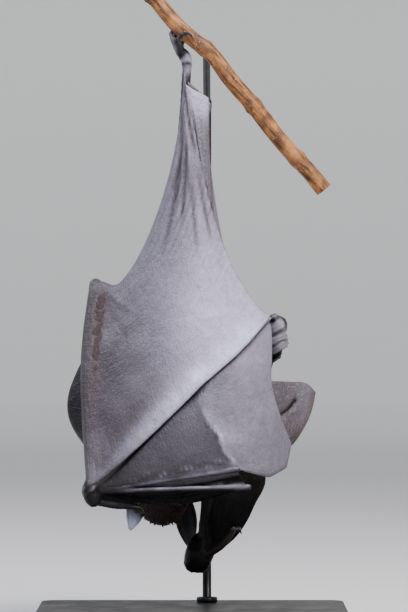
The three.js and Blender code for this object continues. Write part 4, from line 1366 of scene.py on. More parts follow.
@dataclass(frozen=True)
class Head:
    """The head, a fox-like one with a long muzzle, in a frame of its own."""

    occiput: Point = (-24, 31, 98.5)
    nose_way: Point = (0.02, -0.97, 0.2)
    crown_way: Point = (-0.2, -0.19, -0.95)
    sections: Sequence[HeadSection] = (
        HeadSection(1, 9, 8, 0, 3.2),
        HeadSection(7, 17, 15.5, 0.5, 3.4),
        HeadSection(18, 21.5, 19.5, 1, 3.4),
        HeadSection(30, 22, 20, 1, 3.2),
        HeadSection(40, 19.5, 17.5, -0.5, 2.6),
        HeadSection(50, 15.5, 14, -3, 1.8),
        HeadSection(60, 11.5, 11.5, -4.5, 1.3),
        HeadSection(70, 9.6, 10, -5, 1.0),
        HeadSection(78, 8.6, 8.6, -4.6, 0.7),
        HeadSection(83, 5.5, 5.5, -4, 0.5),
    )
    eye: Point = (13.2, 46, 3.2)  # out, reach, lift
    ball_radius: float = 4.9
    lid: float = 0.55  # thickness of a lid over the ball
    sides: int = 126
    count: int = 108

    def axes(self) -> tuple[Array, Array, Array]:
        """Directions to the bat's left, to the nose and to the crown."""
        along = unit(vec(*self.nose_way))
        side = unit(np.cross(vec(*self.crown_way), along))
        return side, along, np.cross(along, side)

    def world(self, local: Array) -> Array:
        """Points given as (out, reach, lift), in the model's frame."""
        return vec(*self.occiput) + local @ np.stack(self.axes())

    def skull(self) -> tuple[Shell, Array, Array]:
        """The head's skin with eye sockets, lids, mouth and nostrils, and its unwrap."""
        rows = np.array([[s.reach, s.wide - s.coat, s.high - s.coat, s.lift] for s in self.sections])
        shares = crowded(self.count, (46 / 83, 0.97), 0.09, 1.6)
        reach = rows[0, 0] + (rows[-1, 0] - rows[0, 0]) * shares
        spots = np.interp(reach, rows[:, 0], np.linspace(0, 1, len(rows)))
        wide, high, lift = line(*rows[:, 1:])(spots).T[..., None]
        turn = crowded(self.sides + 1, (0.21, 0.79), 0.06, 0.8)[:-1] * 2 * math.pi
        reach = reach[:, None]
        cheek = bell(reach - 30, 14) * bell(np.cos(turn) + 0.35, 0.5)
        brow = bell(reach - 41, 6) * bell(np.cos(turn) - 0.62, 0.25)
        narrow = bell(reach - 66, 16) * bell(np.cos(turn) - 0.15, 0.35)
        scale = 1 + 0.05 * cheek + 0.06 * brow - 0.07 * narrow
        out, up = np.sin(turn) * wide * scale, lift + np.cos(turn) * high * scale
        made = rings(np.stack([out, np.repeat(reach, self.sides, 1), up], -1))
        made.points = self.features(made.points)
        return made, *lengthwise(turn, shares)

    def opening(self, near: Array) -> Array:
        """How far inside the almond between the lids each place is, negative outside."""
        across, up = near[:, 1], near[:, 2] + 0.12 * near[:, 1]
        tall = 2.5 * np.clip(1 - (across / 4.5) ** 2, 0, 1)
        return tall - np.abs(up - 0.1)

    def about_eye(self, local: Array, hand: int) -> tuple[Array, Array, Array]:
        """Places relative to an eye, how far out they are from its middle, and their distance beside it."""
        near = local - vec(*self.eye) * vec(hand, 1, 1)
        return near, near[:, 0] * hand, np.hypot(near[:, 1], near[:, 2])

    def middle(self, reach: Array) -> Array:
        """The height of the head's middle line at each reach."""
        return np.interp(reach, [s.reach for s in self.sections], [s.lift for s in self.sections])

    def features(self, local: Array) -> Array:
        """Eyelids, mouth, nostrils and whisker pads, on points given in the head's own frame."""
        made, ball = local.copy(), self.ball_radius + self.lid
        for hand in (1, -1):
            near, outwards, flat = self.about_eye(made, hand)
            beside_eye = (outwards > -3) & (np.abs(near[:, 1]) < 11) & (np.abs(near[:, 2]) < 11)
            dome = np.sqrt(np.clip(ball**2 - np.minimum(flat, ball * 0.999) ** 2, 0, None))
            hidden = np.sqrt(np.clip((self.ball_radius - 1.2) ** 2 - flat**2, 0, None))
            open_share = smooth(-0.15, 0.45, self.opening(near))
            rim = 0.35 * bell(self.opening(near) + 0.55, 0.5)
            lids = (dome + rim) * (1 - open_share) + hidden * open_share
            share = smooth(ball + 2.6, ball * 0.72, flat)
            groove = 0.6 * bell(flat - ball - 0.6, 0.9) * (near[:, 2] > -6)
            target = outwards * (1 - share) + lids * share
            made[beside_eye, 0] += ((target - groove - outwards) * hand)[beside_eye]
        out, reach, lift = made.T
        centre = self.middle(reach)
        from_mouth = lift - (centre - 3.4 + 0.8 * bell(reach - 58, 7))
        mouth = bell(from_mouth, 0.55) * smooth(48, 54, reach) * (lift < centre)
        lip = bell(np.abs(from_mouth) - 1.2, 0.8) * smooth(48, 54, reach) * smooth(83, 78, reach)
        shape = unit(np.stack([out, np.zeros(len(out)), lift - centre], 1))
        made += shape * (0.35 * lip - 1.3 * mouth)[:, None]
        for hand in (1, -1):
            hole = np.linalg.norm((made - vec(3.1 * hand, 83.5, -2.6)) / vec(1.25, 3.5, 1.15), axis=1)
            rim = bell(hole - 1.35, 0.35)
            made[:, 1] += 1.1 * rim * (reach > 79) - 2.6 * bell(hole, 0.8)
            made[:, 0] += 0.5 * hand * rim * (reach > 79)
        made[:, 1] -= 0.9 * (bell(made[:, 0], 0.8) * smooth(78, 82, reach) * (lift > centre - 3))
        return made

    def shell(self) -> Shell:
        """The head, dressed with its fur and its bare nose, lids and lips."""
        made, across, up = self.skull()
        _, reach, lift = made.points.T
        centre = self.middle(reach)
        coat = np.interp(reach, (0, 18, 34, 46, 58, 72, 80), (6.5, 6, 5, 3.4, 2.4, 1.6, 0))
        coat = coat + 5 * smooth(4, 13, lift - centre) * smooth(48, 34, reach) * smooth(-2, 8, reach)
        for hand in (1, -1):
            near, outwards, _ = self.about_eye(made.points, hand)
            coat = coat * np.where(outwards > -4, smooth(5.6, 7.6, np.linalg.norm(near, axis=1)), 1)
        coat = coat * (1 - bell(lift - (centre - 3.4), 1.0) * smooth(50, 56, reach) * (lift < centre))
        pelt = blend(TINT.crown_fur, TINT.face_fur, smooth(40, 54, reach))
        uneven = (1 + 0.12 * wobble(made.points, 6, 91))[:, None]
        pelt = blend(pelt, TINT.mantle_fur, smooth(16, 4, reach)) * uneven
        tint = blend(pelt * 0.5, TINT.face, 1 - smooth(0.3, 1.4, coat))
        lie = unit(vec(0, -1, 0) + made.points * vec(0.012, 0, 0.012)) @ np.stack(self.axes())
        made.points = self.world(made.points)
        return dress(made.outward(), tint, coat, lie, pelt, place=Patchwork.HEAD.fit(across, up))


@dataclass(frozen=True)
class Ear:
    """A pointed leaf of skin, cupped towards its hollow side."""

    root: Point
    tip: Point
    hollow: Point
    width: float = 9.4
    thickness: float = 1.2
    # how much painted sheen the ear's tip gets
    sheen: float = 1.0

    def shell(self) -> Shell:
        """The ear, ribbed across inside and thickened round its rim."""
        root, deep = vec(*self.root), unit(vec(*self.hollow))
        length = vec(*self.tip) - root
        side = unit(np.cross(length, vec(*self.hollow)))

        def surface(u: Array, v: Array) -> Array:
            """The ear's middle layer."""
            half, turn = self.width * np.sin(math.pi * (0.3 + 0.695 * v)) ** 0.8, -1.15 + 2.3 * u
            cup = (np.cos(turn) - 0.6) * half * 0.8
            return root + length * v[:, None] + side * (np.sin(turn) * half)[:, None] - deep * cup[:, None]

        def relief(places: Places) -> tuple[Array, Array]:
            """Fine ribs across the inside, and a rolled rim."""
            ribs = 0.16 * np.sin(places.v * 60) * smooth(0.1, 0.3, places.v) * smooth(0.95, 0.7, places.v)
            roll = 0.35 * bell(np.minimum(places.u, 1 - places.u), 0.06)
            return roll + ribs * bell(places.u - 0.5, 0.3), roll

        made = sheet(surface, Grid(26, 34, 0.0), self.hollow, relief, self.thickness)
        # painted sheen towards the tip
        tint = blend(TINT.ear, TINT.ear_tip_sheen, smooth(0.4, 0.95, made.values["v"]) * self.sheen)
        return dress(made, tint * (1 + 0.1 * wobble(made.points, 4, 95))[:, None], leather=0.4)


@dataclass(frozen=True)
class Leg:
    """A leg: a furred thigh, a thin shank and a foot with five toes."""

    hip: Point
    knee: Point
    ankle: Point
    sole: Sequence[Point]
    toes: Sequence[Sequence[Point]]
    box: Patchwork

    def shells(self) -> list[Shell]:
        """Thigh, shank, sole and toes."""
        made, path = limb(line(self.hip, self.knee), 34, 28, (11, 9, 6.6, 5))
        along, lie = made.values["along"], unit(path[-1] - path[0])
        pelt = blend(TINT.back_fur, TINT.arm_fur, smooth(0.4, 1, along) * 0.5)
        place = self.box.fit(made.values["turn"], along)
        shells = [dress(made, pelt * 0.5, 6.5 - 2.5 * along, lie, pelt, place=place)]
        radii = (5.4, 4.3, 3.5, 3.8)
        made, _ = limb(line(self.knee, self.ankle), 44, 20, radii, lambda s, r: r + 0.15 * np.sin(s * 70))
        wear_and_highlight = smooth(0.9, 0.98, made.values["along"]) * smooth(-0.7, 0.3, wobble(made.points, 3.2, 104))
        tint = TINT.limb * 0.7 * (1 + 0.1 * wobble(made.points, 5, 101))[:, None]
        shells.append(dress(made, blend(tint, TINT.web_pale, wear_and_highlight * 0.7), leather=0.5))
        made, path = limb(line(*self.sole), 20, 22, (4.1, 4.6, 4.8, 4.3))
        made.swell(path.mean(0), 0.25 * wobble(made.points, 3, 102))
        wear_and_highlight = smooth(0.65, 0.25, made.values["along"]) * smooth(-0.7, 0.3, wobble(made.points, 3, 105))
        shells.append(dress(made, blend(TINT.limb * 0.4, TINT.web_pale, wear_and_highlight * 0.75), leather=0.4))
        for index, toe in enumerate(self.toes):
            made, _ = limb(line(*toe), 30, 12, (2.0, 1.8, 1.65, 1.65), self.knuckles)
            # painted light: the first toe of each foot is pale as if lit, the others stay darker
            wear_and_highlight = (0.75 if index == 0 else 0.12) + 0.25 * wobble(made.points, 3, 103)
            shells.append(dress(made, blend(TINT.limb * 0.45, TINT.pad, wear_and_highlight), leather=0.35))
        return shells

    def knuckles(self, shares: Array, radius: Array) -> Array:
        """A toe's radius with its two knuckles and the rings of its skin."""
        lumps = 0.35 * bell(shares - 0.38, 0.07) + 0.35 * bell(shares - 0.74, 0.07)
        return radius + lumps + 0.1 * np.sin(shares * 46)


@dataclass(frozen=True)
class Perch:
    """The cut length of branch that the bat hangs from, and the lenticels on its bark."""

    knots: Sequence[Point] = (
        (-46, 5, 524), (-29, 3, 502.5), (-14.5, 1, 485), (0, 0, 471.5), (14, 0, 460.5),
        (30, 2, 440), (50, 5, 417), (72, 8, 389), (96, 10, 363), (106, 11, 351),
    )
    radius: float = 6.2
    scars: Sequence[float] = (0.1, 0.36, 0.62, 0.86)  # shares of the length where leaves have fallen off
    length: float = 230.0  # for the patterns on the bark
    rows: int = 330
    sides: int = 72
    disc: float = 0.985  # share of the branch's radius that a sawn face takes
    spot: Point = (1.5, 0.55, 0.3)  # length, width and height of a lenticel
    spots_per_square_metre: float = 21000.0

    def curve(self) -> Edge:
        """The middle of the branch."""
        return line(*self.knots)

    def grip(self, along: float, start: float, end: float, clearance: float, steps: int = 4) -> list[Point]:
        """A path round the branch beside a toe, in degrees from its under side.

        Args:
            along: how far along the branch the path lies.
            start: the turn where it starts, 90 on the far side, negative on the near side.
            end: the turn where it ends.
            clearance: how far it stays off the branch.
            steps: stretches of the path.

        Returns:
            Points of the path.
        """
        way = unit(vec(*self.knots[4]) - vec(*self.knots[2]))
        up = unit(np.cross(vec(*OUT), way))
        middle = vec(*self.knots[3]) + vec(-6.7, 0, 6.5) + way * along
        turn = np.radians(np.linspace(start, end, steps + 1))[:, None]
        points = middle + (vec(0, 1, 0) * np.sin(turn) - up * np.cos(turn)) * (self.radius + clearance)
        return [tuple(p) for p in points]

    def branch(self) -> Shell:
        """The branch, ridged along, swollen at old leaf scars and sawn off at both ends."""
        path, shares = even(self.curve(), self.rows), np.linspace(0, 1, self.rows)
        run, turn = np.meshgrid(shares * self.length, np.arange(self.sides) / self.sides, indexing="ij")
        angle = turn * 2 * math.pi
        place = np.stack([np.cos(angle) * 7, np.sin(angle) * 7, run * 0.16], -1).reshape(-1, 3)
        ridges, knobs = wobble(place, 2.6, 121), wobble(place * vec(1, 1, 4), 7, 122)
        swell = sum(bell(shares - scar, 0.018) for scar in self.scars)
        radius = (self.radius + 0.8 * swell + 0.4 * shares)[:, None] * np.ones(self.sides)
        radius = radius + 0.14 * ridges.reshape(radius.shape) + 0.22 * knobs.reshape(radius.shape)
        for index, scar in enumerate(self.scars):
            aside = (turn - 0.12 - 0.5 * (index % 2) + 0.5) % 1 - 0.5
            above = run - scar * self.length
            spot = np.hypot(aside * 2 * math.pi * self.radius / 3.4, above / 2.6)
            radius = radius + 0.75 * bell(spot - 1, 0.28) - 0.5 * bell(spot, 0.6)
            radius = radius - 0.35 * bell(above - 5, 0.5) - 0.3 * bell(above - 5 - 1.8, 0.45)
        made = tube(path, radius, self.sides, Cut.FLAT, vec(*OUT))
        angle = made.values["turn"] * 2 * math.pi
        round_it = np.cos(angle) * self.radius, made.values["along"] * self.length, np.sin(angle) * self.radius
        bark = np.stack(round_it, 1)
        bark[self.rows * self.sides :] = 0
        ends = self.end_discs(made, path)
        made.values = {"bark": bark, "cut": np.zeros(len(bark)), "sawn": np.zeros(len(bark))}
        return made + ends

    def end_discs(self, bark: Shell, path: Array) -> Shell:
        """The sawn faces: thin discs that stand a little proud of the branch's ends."""
        steps = ((1.0, -0.3), (1.0, 0.05), (0.975, 0.22), (0.7, 0.25), (0.35, 0.25), (0.06, 0.22))
        discs = []
        for start, end, row in ((path[1], path[0], 0), (path[-2], path[-1], self.rows - 1)):
            rim, way = bark.points[row * self.sides : (row + 1) * self.sides], unit(end - start)
            middle = rim.mean(0)
            circles = [middle + (rim - middle) * share * self.disc + way * out for share, out in steps]
            disc = rings(np.stack(circles))
            cut = np.linalg.norm(disc.points - middle, axis=1)
            disc.values = {"bark": disc.points.copy(), "cut": cut, "sawn": np.ones(len(cut))}
            discs.append(disc.outward())
        return together(discs)

    def lenticels(self, branch: bpy.types.Object, finish: bpy.types.Material) -> bpy.types.Object:
        """Scatters the lenticels over the bark with Geometry Nodes.

        Args:
            branch: the finished branch.
            finish: their material.

        Returns:
            One plain mesh object.
        """
        tree = bpy.data.node_groups.new("lenticels_on_bark", "GeometryNodeTree")
        nodes, face = Nodes(tree), tree.interface
        sizes = dict(zip(("Length", "Width", "Height"), (size * MM for size in self.spot)))
        sizes["Spots per square metre"] = self.spots_per_square_metre
        face.new_socket("Geometry", in_out="INPUT", socket_type="NodeSocketGeometry")
        inputs = {name: face.new_socket(name, in_out="INPUT", socket_type="NodeSocketFloat") for name in sizes}
        face.new_socket("Geometry", in_out="OUTPUT", socket_type="NodeSocketGeometry")
        given = nodes.add("NodeGroupInput").node.outputs
        size = nodes.add("CombineXYZ", given["Length"], given["Width"], given["Height"])
        chance = nodes.add("FunctionNodeRandomValue", {2: 0.5, 3: 1.25, "Seed": SEED + 1}, out=1)
        size = nodes.add("VectorMath", {0: size, "Scale": chance}, operation="SCALE")
        spread = {"Mesh": given["Geometry"], "Density": given["Spots per square metre"], "Seed": SEED}
        spots = nodes.add("GeometryNodeDistributePointsOnFaces", spread)
        turn = {"Rotation": spots.node.outputs["Rotation"], "Vector": (0.66, 0.0, -0.75)}
        turn = nodes.add("FunctionNodeAlignRotationToVector", turn, axis="Y", pivot_axis="Z")
        lens = nodes.add("GeometryNodeMeshIcoSphere", {"Radius": 0.5, "Subdivisions": 2})
        made = {"Points": spots, "Instance": lens, "Rotation": turn, "Scale": size}
        made = nodes.add("GeometryNodeInstanceOnPoints", made)
        made = nodes.add("GeometryNodeRealizeInstances", made)
        made = nodes.add("GeometryNodeSetShadeSmooth", made)
        made = nodes.add("GeometryNodeSetMaterial", {"Geometry": made, "Material": finish})
        nodes.add("NodeGroupOutput", made)

        bearer = placed("lenticel_bearer", branch.data)
        scatter = bearer.modifiers.new("scatter", "NODES")
        scatter.node_group = tree
        for name, value in sizes.items():
            scatter[inputs[name].identifier] = value
        mesh = settled(bearer)
        bpy.data.objects.remove(bearer)
        mesh.name = "perch_lenticels"
        return placed("perch_lenticels", mesh)


PERCH = Perch()


@dataclass(frozen=True)
class Feet:
    """Both feet: the left one grips the perch, the right one hangs free."""

    near_toe: int = 4
    step: float = 3.8
    sole_end: Point = (-9, 2.5, 461.5)

    def left_toe(self, index: int) -> list[Point]:
        """A toe of the gripping foot. Four pass behind the branch, and the fifth holds its near side."""
        start = tuple(vec(*self.sole_end) + vec((index - 2) * 1.1, 0, -2))
        if index == self.near_toe:
            return [start, *PERCH.grip(self.step * 0.4, -25, -62, 2.4)]
        return [start, *PERCH.grip((index - 1.6) * self.step, 12, 96, 2.4)]

    def left_claw(self, index: int) -> list[Point]:
        """A claw of the gripping foot."""
        along = (index - 1.6) * self.step
        spots = ((along, 99, 2.2), (along, 125, 2.0), (along, 150, 0.8))
        if index == self.near_toe:
            beads = (0.4, -64, 2.3), (1.4, -92, 2.3), (3, -84, 1.9)
            spots = tuple((self.step * a, t, c) for a, t, c in beads)
        return [PERCH.grip(a, t, t, c)[0] for a, t, c in spots]

    def right_toe(self, index: int) -> list[Point]:
        """A toe of the free foot."""
        s = (index - 2) * 2.9
        return [(9 + 0.3 * s, 15, 414), (8 + 0.7 * s, 22, 410), (6.5 + s, 27, 401), (6 + s, 29, 390)]

    def right_claw(self, index: int) -> list[Point]:
        """A claw of the free foot."""
        x, y, z = self.right_toe(index)[3]
        return [(x, y, z), (x, y - 0.6, z - 5), (x, y - 4.6, z - 9)]

    def legs(self) -> list[Leg]:
        """Both legs with their feet."""
        left, right = (-4, -1, 449), (11, 9, 419)
        gripping, free = ([toe(k) for k in range(5)] for toe in (self.left_toe, self.right_toe))
        return [
            Leg((-14, 10, 306), (-9, 15, 372), left, (left, (-4.5, 0, 455), self.sole_end), gripping,
                Patchwork.THIGH_LEFT),
            Leg((1, 10, 304), (7.5, 22, 364), right, (right, (10.4, 14, 416.5), (9, 20, 411)), free,
                Patchwork.THIGH_RIGHT),
        ]

    def tail_membrane(self) -> Shell:
        """The skin between the legs, held out by a spur at each heel."""
        left, right = (-3, -4, 437), (12, 4, 424)
        low_left, low_right = (-8, 20, 330), (0, 20, 330)
        inner, outer = line(left, (-9, 15, 372), low_left), line(right, (10.5, 22, 364), low_right)
        surface = patch(line(left, right), line(low_left, low_right), inner, outer, (Bulge((0, -2, 0)),))

        def gathers(places: Places) -> Array:
            """Gathers that run down from the heels."""
            return 0.5 * np.sin(places.u * 19 + wobble(places.points, 20, 111)) * smooth(0, 0.2, places.v)

        return dress(sheet(surface, Grid(24, 50, 0.0), OUT, gathers), TINT.web * 0.8, leather=1.0)

    def heel_web(self) -> Shell:
        """The right wing's skin where it is drawn up from behind the left wing to the right heel."""
        surface = patch(
            line((-6.5, -4, 437), (-1.6, -5.5, 432), (10.4, -3.5, 425.6), (12.8, -1, 424)),
            line((12, -12, 326), (18, -13, 322)),
            line((-6.5, -4, 437), (-1, -6.5, 413), (4, -9, 385), (8, -11, 358), (12, -12, 326)),
            line((12.8, -1, 424), (13.5, -4, 400), (14.2, -7.5, 375), (15.6, -10.5, 348), (18, -13, 322)),
            (Bulge((0, -1.5, 0)),),
        )
        facet = Crease(((-2, 0, 431), (3, 0, 424), (10, 0, 424)), 1.3, 0.7, 0.1)

        def relief(places: Places) -> Array:
            """A hem along the top and fine pleats below it."""
            pleats = 0.28 * np.sin(places.u * 26 + wobble(places.points, 14, 113)) * smooth(0.04, 0.3, places.v)
            return pleats + facet.lift(places.points)

        made = sheet(surface, Grid(26, 54, 0.0), OUT, relief)
        u, v = made.values["u"], made.values["v"]
        tint = blend(TINT.web_pale, TINT.web, smooth(0.1, 0.35, v))
        brown = (0.15 + smooth(0.3, 1, u) * 0.6) * smooth(0.03, 0.3, v)
        return dress(made, blend(tint, TINT.web_brown, brown), leather=1.0)


# ------------------------------------------------------------------ one skin


@dataclass(frozen=True)
class Skin:
    """The bat's one skin: every shell united, with the lines where they meet smoothed over."""

    seam: float = 0.02  # a point this far from every source point is new, and lies on a seam
    spread: int = 3  # rows of neighbours that are smoothed with a seam
    smoothing: int = 4  # rounds in which places are smoothed
    pull: float = 0.5  # share of the way to its neighbours that a place moves in a round
    fading: int = 6  # rounds in which colours are smoothed
    fade: float = 0.7  # the same share for a colour
    least_faces: float = 0.3  # share of the shells' faces below which they can't have united

    def build(self, shells: Sequence[Shell]) -> bpy.types.Object:
        """Unites the shells.

        Args:
            shells: every shell of flesh, dressed.

        Returns:
            One object whose points carry the shells' values.
        """
        parts, whole = bpy.data.collections.new("skin_shells"), together(shells)
        bare = [Shell(shell.points, shell.quads, shell.tris) for shell in shells]
        for index, shell in enumerate(bare[1:]):
            parts.objects.link(bpy.data.objects.new(f"shell_{index}", shell.mesh(f"shell_{index}")))
        bpy.context.scene.collection.children.link(parts)
        skin = thing("bat_skin", bare[0])
        union = skin.modifiers.new("union", "BOOLEAN")
        union.operand_type, union.operation = "COLLECTION", "UNION"
        union.collection, union.solver = parts, "MANIFOLD"
        made = settled(skin)
        if len(made.polygons) < self.least_faces * len(whole.quads):
            LOG.warning("the shells did not unite and are joined side by side")
            made = whole.mesh("bat_skin")
        skin.data = made
        made.name = "bat_skin"
        for spent in list(parts.objects):
            bpy.data.objects.remove(spent)
        bpy.data.collections.remove(parts)
        self.carry(made, whole)
        made.shade_smooth()
        LOG.info("skin: %d triangles", sum(len(p.vertices) - 2 for p in made.polygons))
        return skin

    def carry(self, mesh: bpy.types.Mesh, whole: Shell) -> None:
        """Gives each point the values of the nearest source point, and smooths the new seams."""
        tree = KDTree(len(whole.points))
        for index, spot in enumerate(whole.points):
            tree.insert(spot, index)
        tree.balance()
        points, edges = points_of(mesh), edges_of(mesh)
        source, far = np.array([tree.find(spot)[1:] for spot in points]).T
        values = {name: value[source.astype(int)] for name, value in whole.values.items()}
        near = (far > self.seam).astype(float)
        for _ in range(self.spread):
            near = np.maximum(near, neighbour_mean(near[:, None], edges)[:, 0] > 0)
        for _ in range(self.smoothing):
            points += (neighbour_mean(points, edges) - points) * self.pull * near[:, None]
        for name in ("tint", "leather"):
            value = values[name].reshape(len(points), -1)
            for _ in range(self.fading):
                value = value + (neighbour_mean(value, edges) - value) * self.fade * near[:, None]
            values[name] = value.reshape(values[name].shape)
        move_points(mesh, points)
        for layer in [a for a in mesh.attributes if a.name in values]:
            mesh.attributes.remove(layer)
        store(mesh, {name: values[name] for name in ("tint", "leather", "web")})


# ------------------------------------------------------------------ coat


@dataclass(frozen=True)
class Coat:
    """The fur: tufts of mesh that lie along the body, smallest on the face."""

    piece_limit: int = 12000  # tufts in one piece
    rise: float = 0.30  # how steeply a tuft leaves the skin
    seed: int = SEED
    # A tuft's stations: share of its length, height over the skin and width, the last one its point.
    stations: Sequence[Point] = ((-0.08, -0.12, 0.55), (0.28, 0.62, 1.0), (0.68, 1.0, 0.72), (1.0, 0.72, 0.0))
    reach: float = 2.0  # how far from the skin a root may have been moved
    space: float = 14.0  # how far up a tuft looks for a wing that lies over it
    least_space: float = 1.6

    def roots(self, shell: Shell, random: np.random.Generator) -> dict[str, Array]:
        """Picks the places where tufts grow on one shell.

        Args:
            shell: a dressed shell.
            random: the seeded source of chance.

        Returns:
            Places, values and hair lengths of its tufts.
        """
        tris = shell.triangles()
        hair = shell.values["coat"][tris].mean(1)
        tris, hair = tris[hair > 0.6], hair[hair > 0.6]
        if not len(tris):
            return {}
        a, b, c = (shell.points[corner] for corner in tris.T)
        areas = np.linalg.norm(np.cross(b - a, c - a), axis=1) / 2
        pick = np.repeat(np.arange(len(tris)), random.poisson(areas / self.patch_area(hair)))
        s, t = random.random((2, len(pick)))
        s, t = np.where(s + t > 1, 1 - s, s), np.where(s + t > 1, 1 - t, t)
        weights, chosen = np.stack([1 - s - t, s, t], 1), tris[pick]
        values = {name: shell.values[name] for name in ("coat", "lie", "pelt")}
        mixed = {name: np.einsum("nk,nk...->n...", weights, value[chosen]) for name, value in values.items()}
        base = shell.values["place"][chosen[:, 0]]
        steps = shell.values["place"][chosen] - base[:, None]
        steps[np.abs(steps) > 0.05] = 0
        mixed["place"] = base + np.einsum("nk,nkj->nj", weights, steps)
        mixed["at"] = np.einsum("nk,nkj->nj", weights, shell.points[chosen])
        return mixed

    def patch_area(self, hair: Array) -> Array:
        """The area of skin that one tuft covers, in square millimetres."""
        return np.clip(0.034 * hair**1.75, 0.17, 1.6)

    def grow(self, shells: Sequence[Shell], skin: bpy.types.Object) -> list[bpy.types.Object]:
        """Grows the whole coat, in pieces.

        Args:
            shells: the dressed shells.
            skin: the one skin, that the roots have to lie on.

        Returns:
            The coat's pieces.
        """
        random = np.random.default_rng(self.seed)
        found = [part for part in (self.roots(shell, random) for shell in shells) if part]
        tufts = {name: np.concatenate([part[name] for part in found]) for name in found[0]}
        faces = [tuple(face.vertices) for face in skin.data.polygons]
        tree = BVHTree.FromPolygons(points_of(skin.data).tolist(), faces)
        kept = []
        for index, spot in enumerate(tufts["at"]):
            near, normal, _, far = tree.find_nearest(spot)
            if near is None or far > self.reach:
                continue
            hit = tree.ray_cast(near + normal * 0.4, normal, self.space)
            room = hit[3] + 0.4 if hit[0] else self.space
            if room >= self.least_space:
                kept.append((index, *near, *normal, room))
        index, rest = np.array(kept)[:, 0].astype(int), np.array(kept)[:, 1:]
        tufts = {name: value[index] for name, value in tufts.items()}
        tufts |= {"at": rest[:, :3], "normal": rest[:, 3:6], "room": rest[:, 6]}
        order = np.lexsort((tufts["place"][:, 1], np.floor(tufts["place"][:, 0] * 3)))
        pieces = []
        for number, start in enumerate(range(0, len(order), self.piece_limit)):
            part = {name: value[order[start : start + self.piece_limit]] for name, value in tufts.items()}
            pieces.append(self.piece(f"bat_coat_{number + 1}", part, random))
        return pieces

    def piece(self, name: str, tufts: dict[str, Array], random: np.random.Generator) -> bpy.types.Object:
        """One piece of the coat, with its tufts as joined meshes."""
        count, normal = len(tufts["at"]), unit(tufts["normal"])
        lie = tufts["lie"] + random.normal(0, 0.16, (count, 3))
        lie = unit(lie - normal * np.einsum("ij,ij->i", lie, normal)[:, None])
        side = np.cross(normal, lie)
        length = tufts["coat"] * random.uniform(0.75, 1.2, count)
        width = (0.042 * length + 0.11) * random.uniform(0.8, 1.2, count)
        lift = np.minimum(length * self.rise, (tufts["room"] - 0.5) * 0.45) * random.uniform(0.6, 1.25, count)
        sway = random.normal(0, 0.07, count) * length
        rows, shares = [], []
        for along, high, wide in self.stations:
            up, aside = normal * (high * lift - 0.15)[:, None], side * (along**2 * sway)[:, None]
            middle = tufts["at"] + lie * (along * length)[:, None] + up + aside
            for x, y in ((-1, 0), (0, 0.75), (1, 0)) if wide else ((0, 0),):
                across, above = (x * wide * width)[:, None], (y * wide * width * 0.5)[:, None]
                rows.append(middle + side * across + normal * above)
                shares.append(max(along, 0))
        quads = [(k + r, (k + 1) % 3 + r, (k + 1) % 3 + r + 3, k + r + 3) for r in (0, 3) for k in range(3)]
        tris = [*((6 + k, 6 + (k + 1) % 3, 9) for k in range(3)), (2, 1, 0)]
        shift = (np.arange(count) * len(rows))[:, None, None]
        along = np.tile(shares, (count, 1))
        shade = random.uniform(0.72, 1.3, count)[:, None, None]
        tint = tufts["pelt"][:, None] * shade * (0.45 + 0.95 * along)[..., None]
        made = Shell(
            np.stack(rows, 1).reshape(-1, 3),
            (np.array(quads)[None] + shift).reshape(-1, 4),
            (np.array(tris)[None] + shift).reshape(-1, 3),
            {"tint": tint.reshape(-1, 3), "along": along.ravel()},
        )
        mesh = made.outward().mesh(name)
        self.unwrap(mesh, tufts["place"], made.values["along"], len(rows))
        return placed(name, mesh)

    def unwrap(self, mesh: bpy.types.Mesh, place: Array, along: Array, corners: int) -> None:
        """Lays each tuft on the unwrap as a small patch at its root's place."""
        layer = mesh.uv_layers.new(name="OFBake")
        loops = np.empty(len(mesh.loops), np.int32)
        mesh.loops.foreach_get("vertex_index", loops)
        owner, corner_of = loops // corners, loops % corners
        local = np.stack([np.where(corner_of == corners - 1, 0.5, (corner_of % 3) / 2), along[loops]], 1)
        layer.data.foreach_set("uv", (place[owner] + (local - 0.5) * 0.003).astype(np.float32).ravel())


# ------------------------------------------------------------------ eyes and claws


def eyeball(head: Head, hand: int) -> Shell:
    """One eyeball with a bulging cornea. Its value "gaze" is the angle from where it looks."""
    side, along, crown = head.axes()
    gaze = unit(side * hand + along * 0.35)
    rows, sides = 34, 48
    angle = np.linspace(0.04, math.pi - 0.04, rows)
    turn = (np.arange(sides) / sides * 2 * math.pi)[:, None]
    across = unit(np.cross(gaze, crown))
    ring = across * np.cos(turn) + np.cross(gaze, across) * np.sin(turn)
    radius, far = (head.ball_radius * (1 + 0.03 * bell(angle, 0.7)))[:, None, None], angle[:, None, None]
    ways = gaze * np.cos(far) + ring[None] * np.sin(far)
    made = rings(head.world(vec(*head.eye) * vec(hand, 1, 1)) + radius * ways)
    made.values = {"gaze": np.concatenate([np.repeat(angle, sides), [0, math.pi]])}
    return made.outward()


def claw(points: Sequence[Point], radii: Sequence[float]) -> Shell:
    """A curved claw, deeper than it is wide and pointed."""
    made, path = limb(line(*points), 26, 14, radii, lambda s, r: r * (1 + 0.1 * bell(s, 0.1)))
    tangents, _, _ = travelling_frames(path)
    bend = unit(path[0] + path[-1] - 2 * path[len(path) // 2])
    across = unit(np.cross(tangents[len(path) // 2], bend))
    made.points -= across * ((made.points - made.middles(path)) @ across * 0.26)[:, None]
    made.values = {"along": made.values["along"]}
    return made


# ------------------------------------------------------------------ finishes


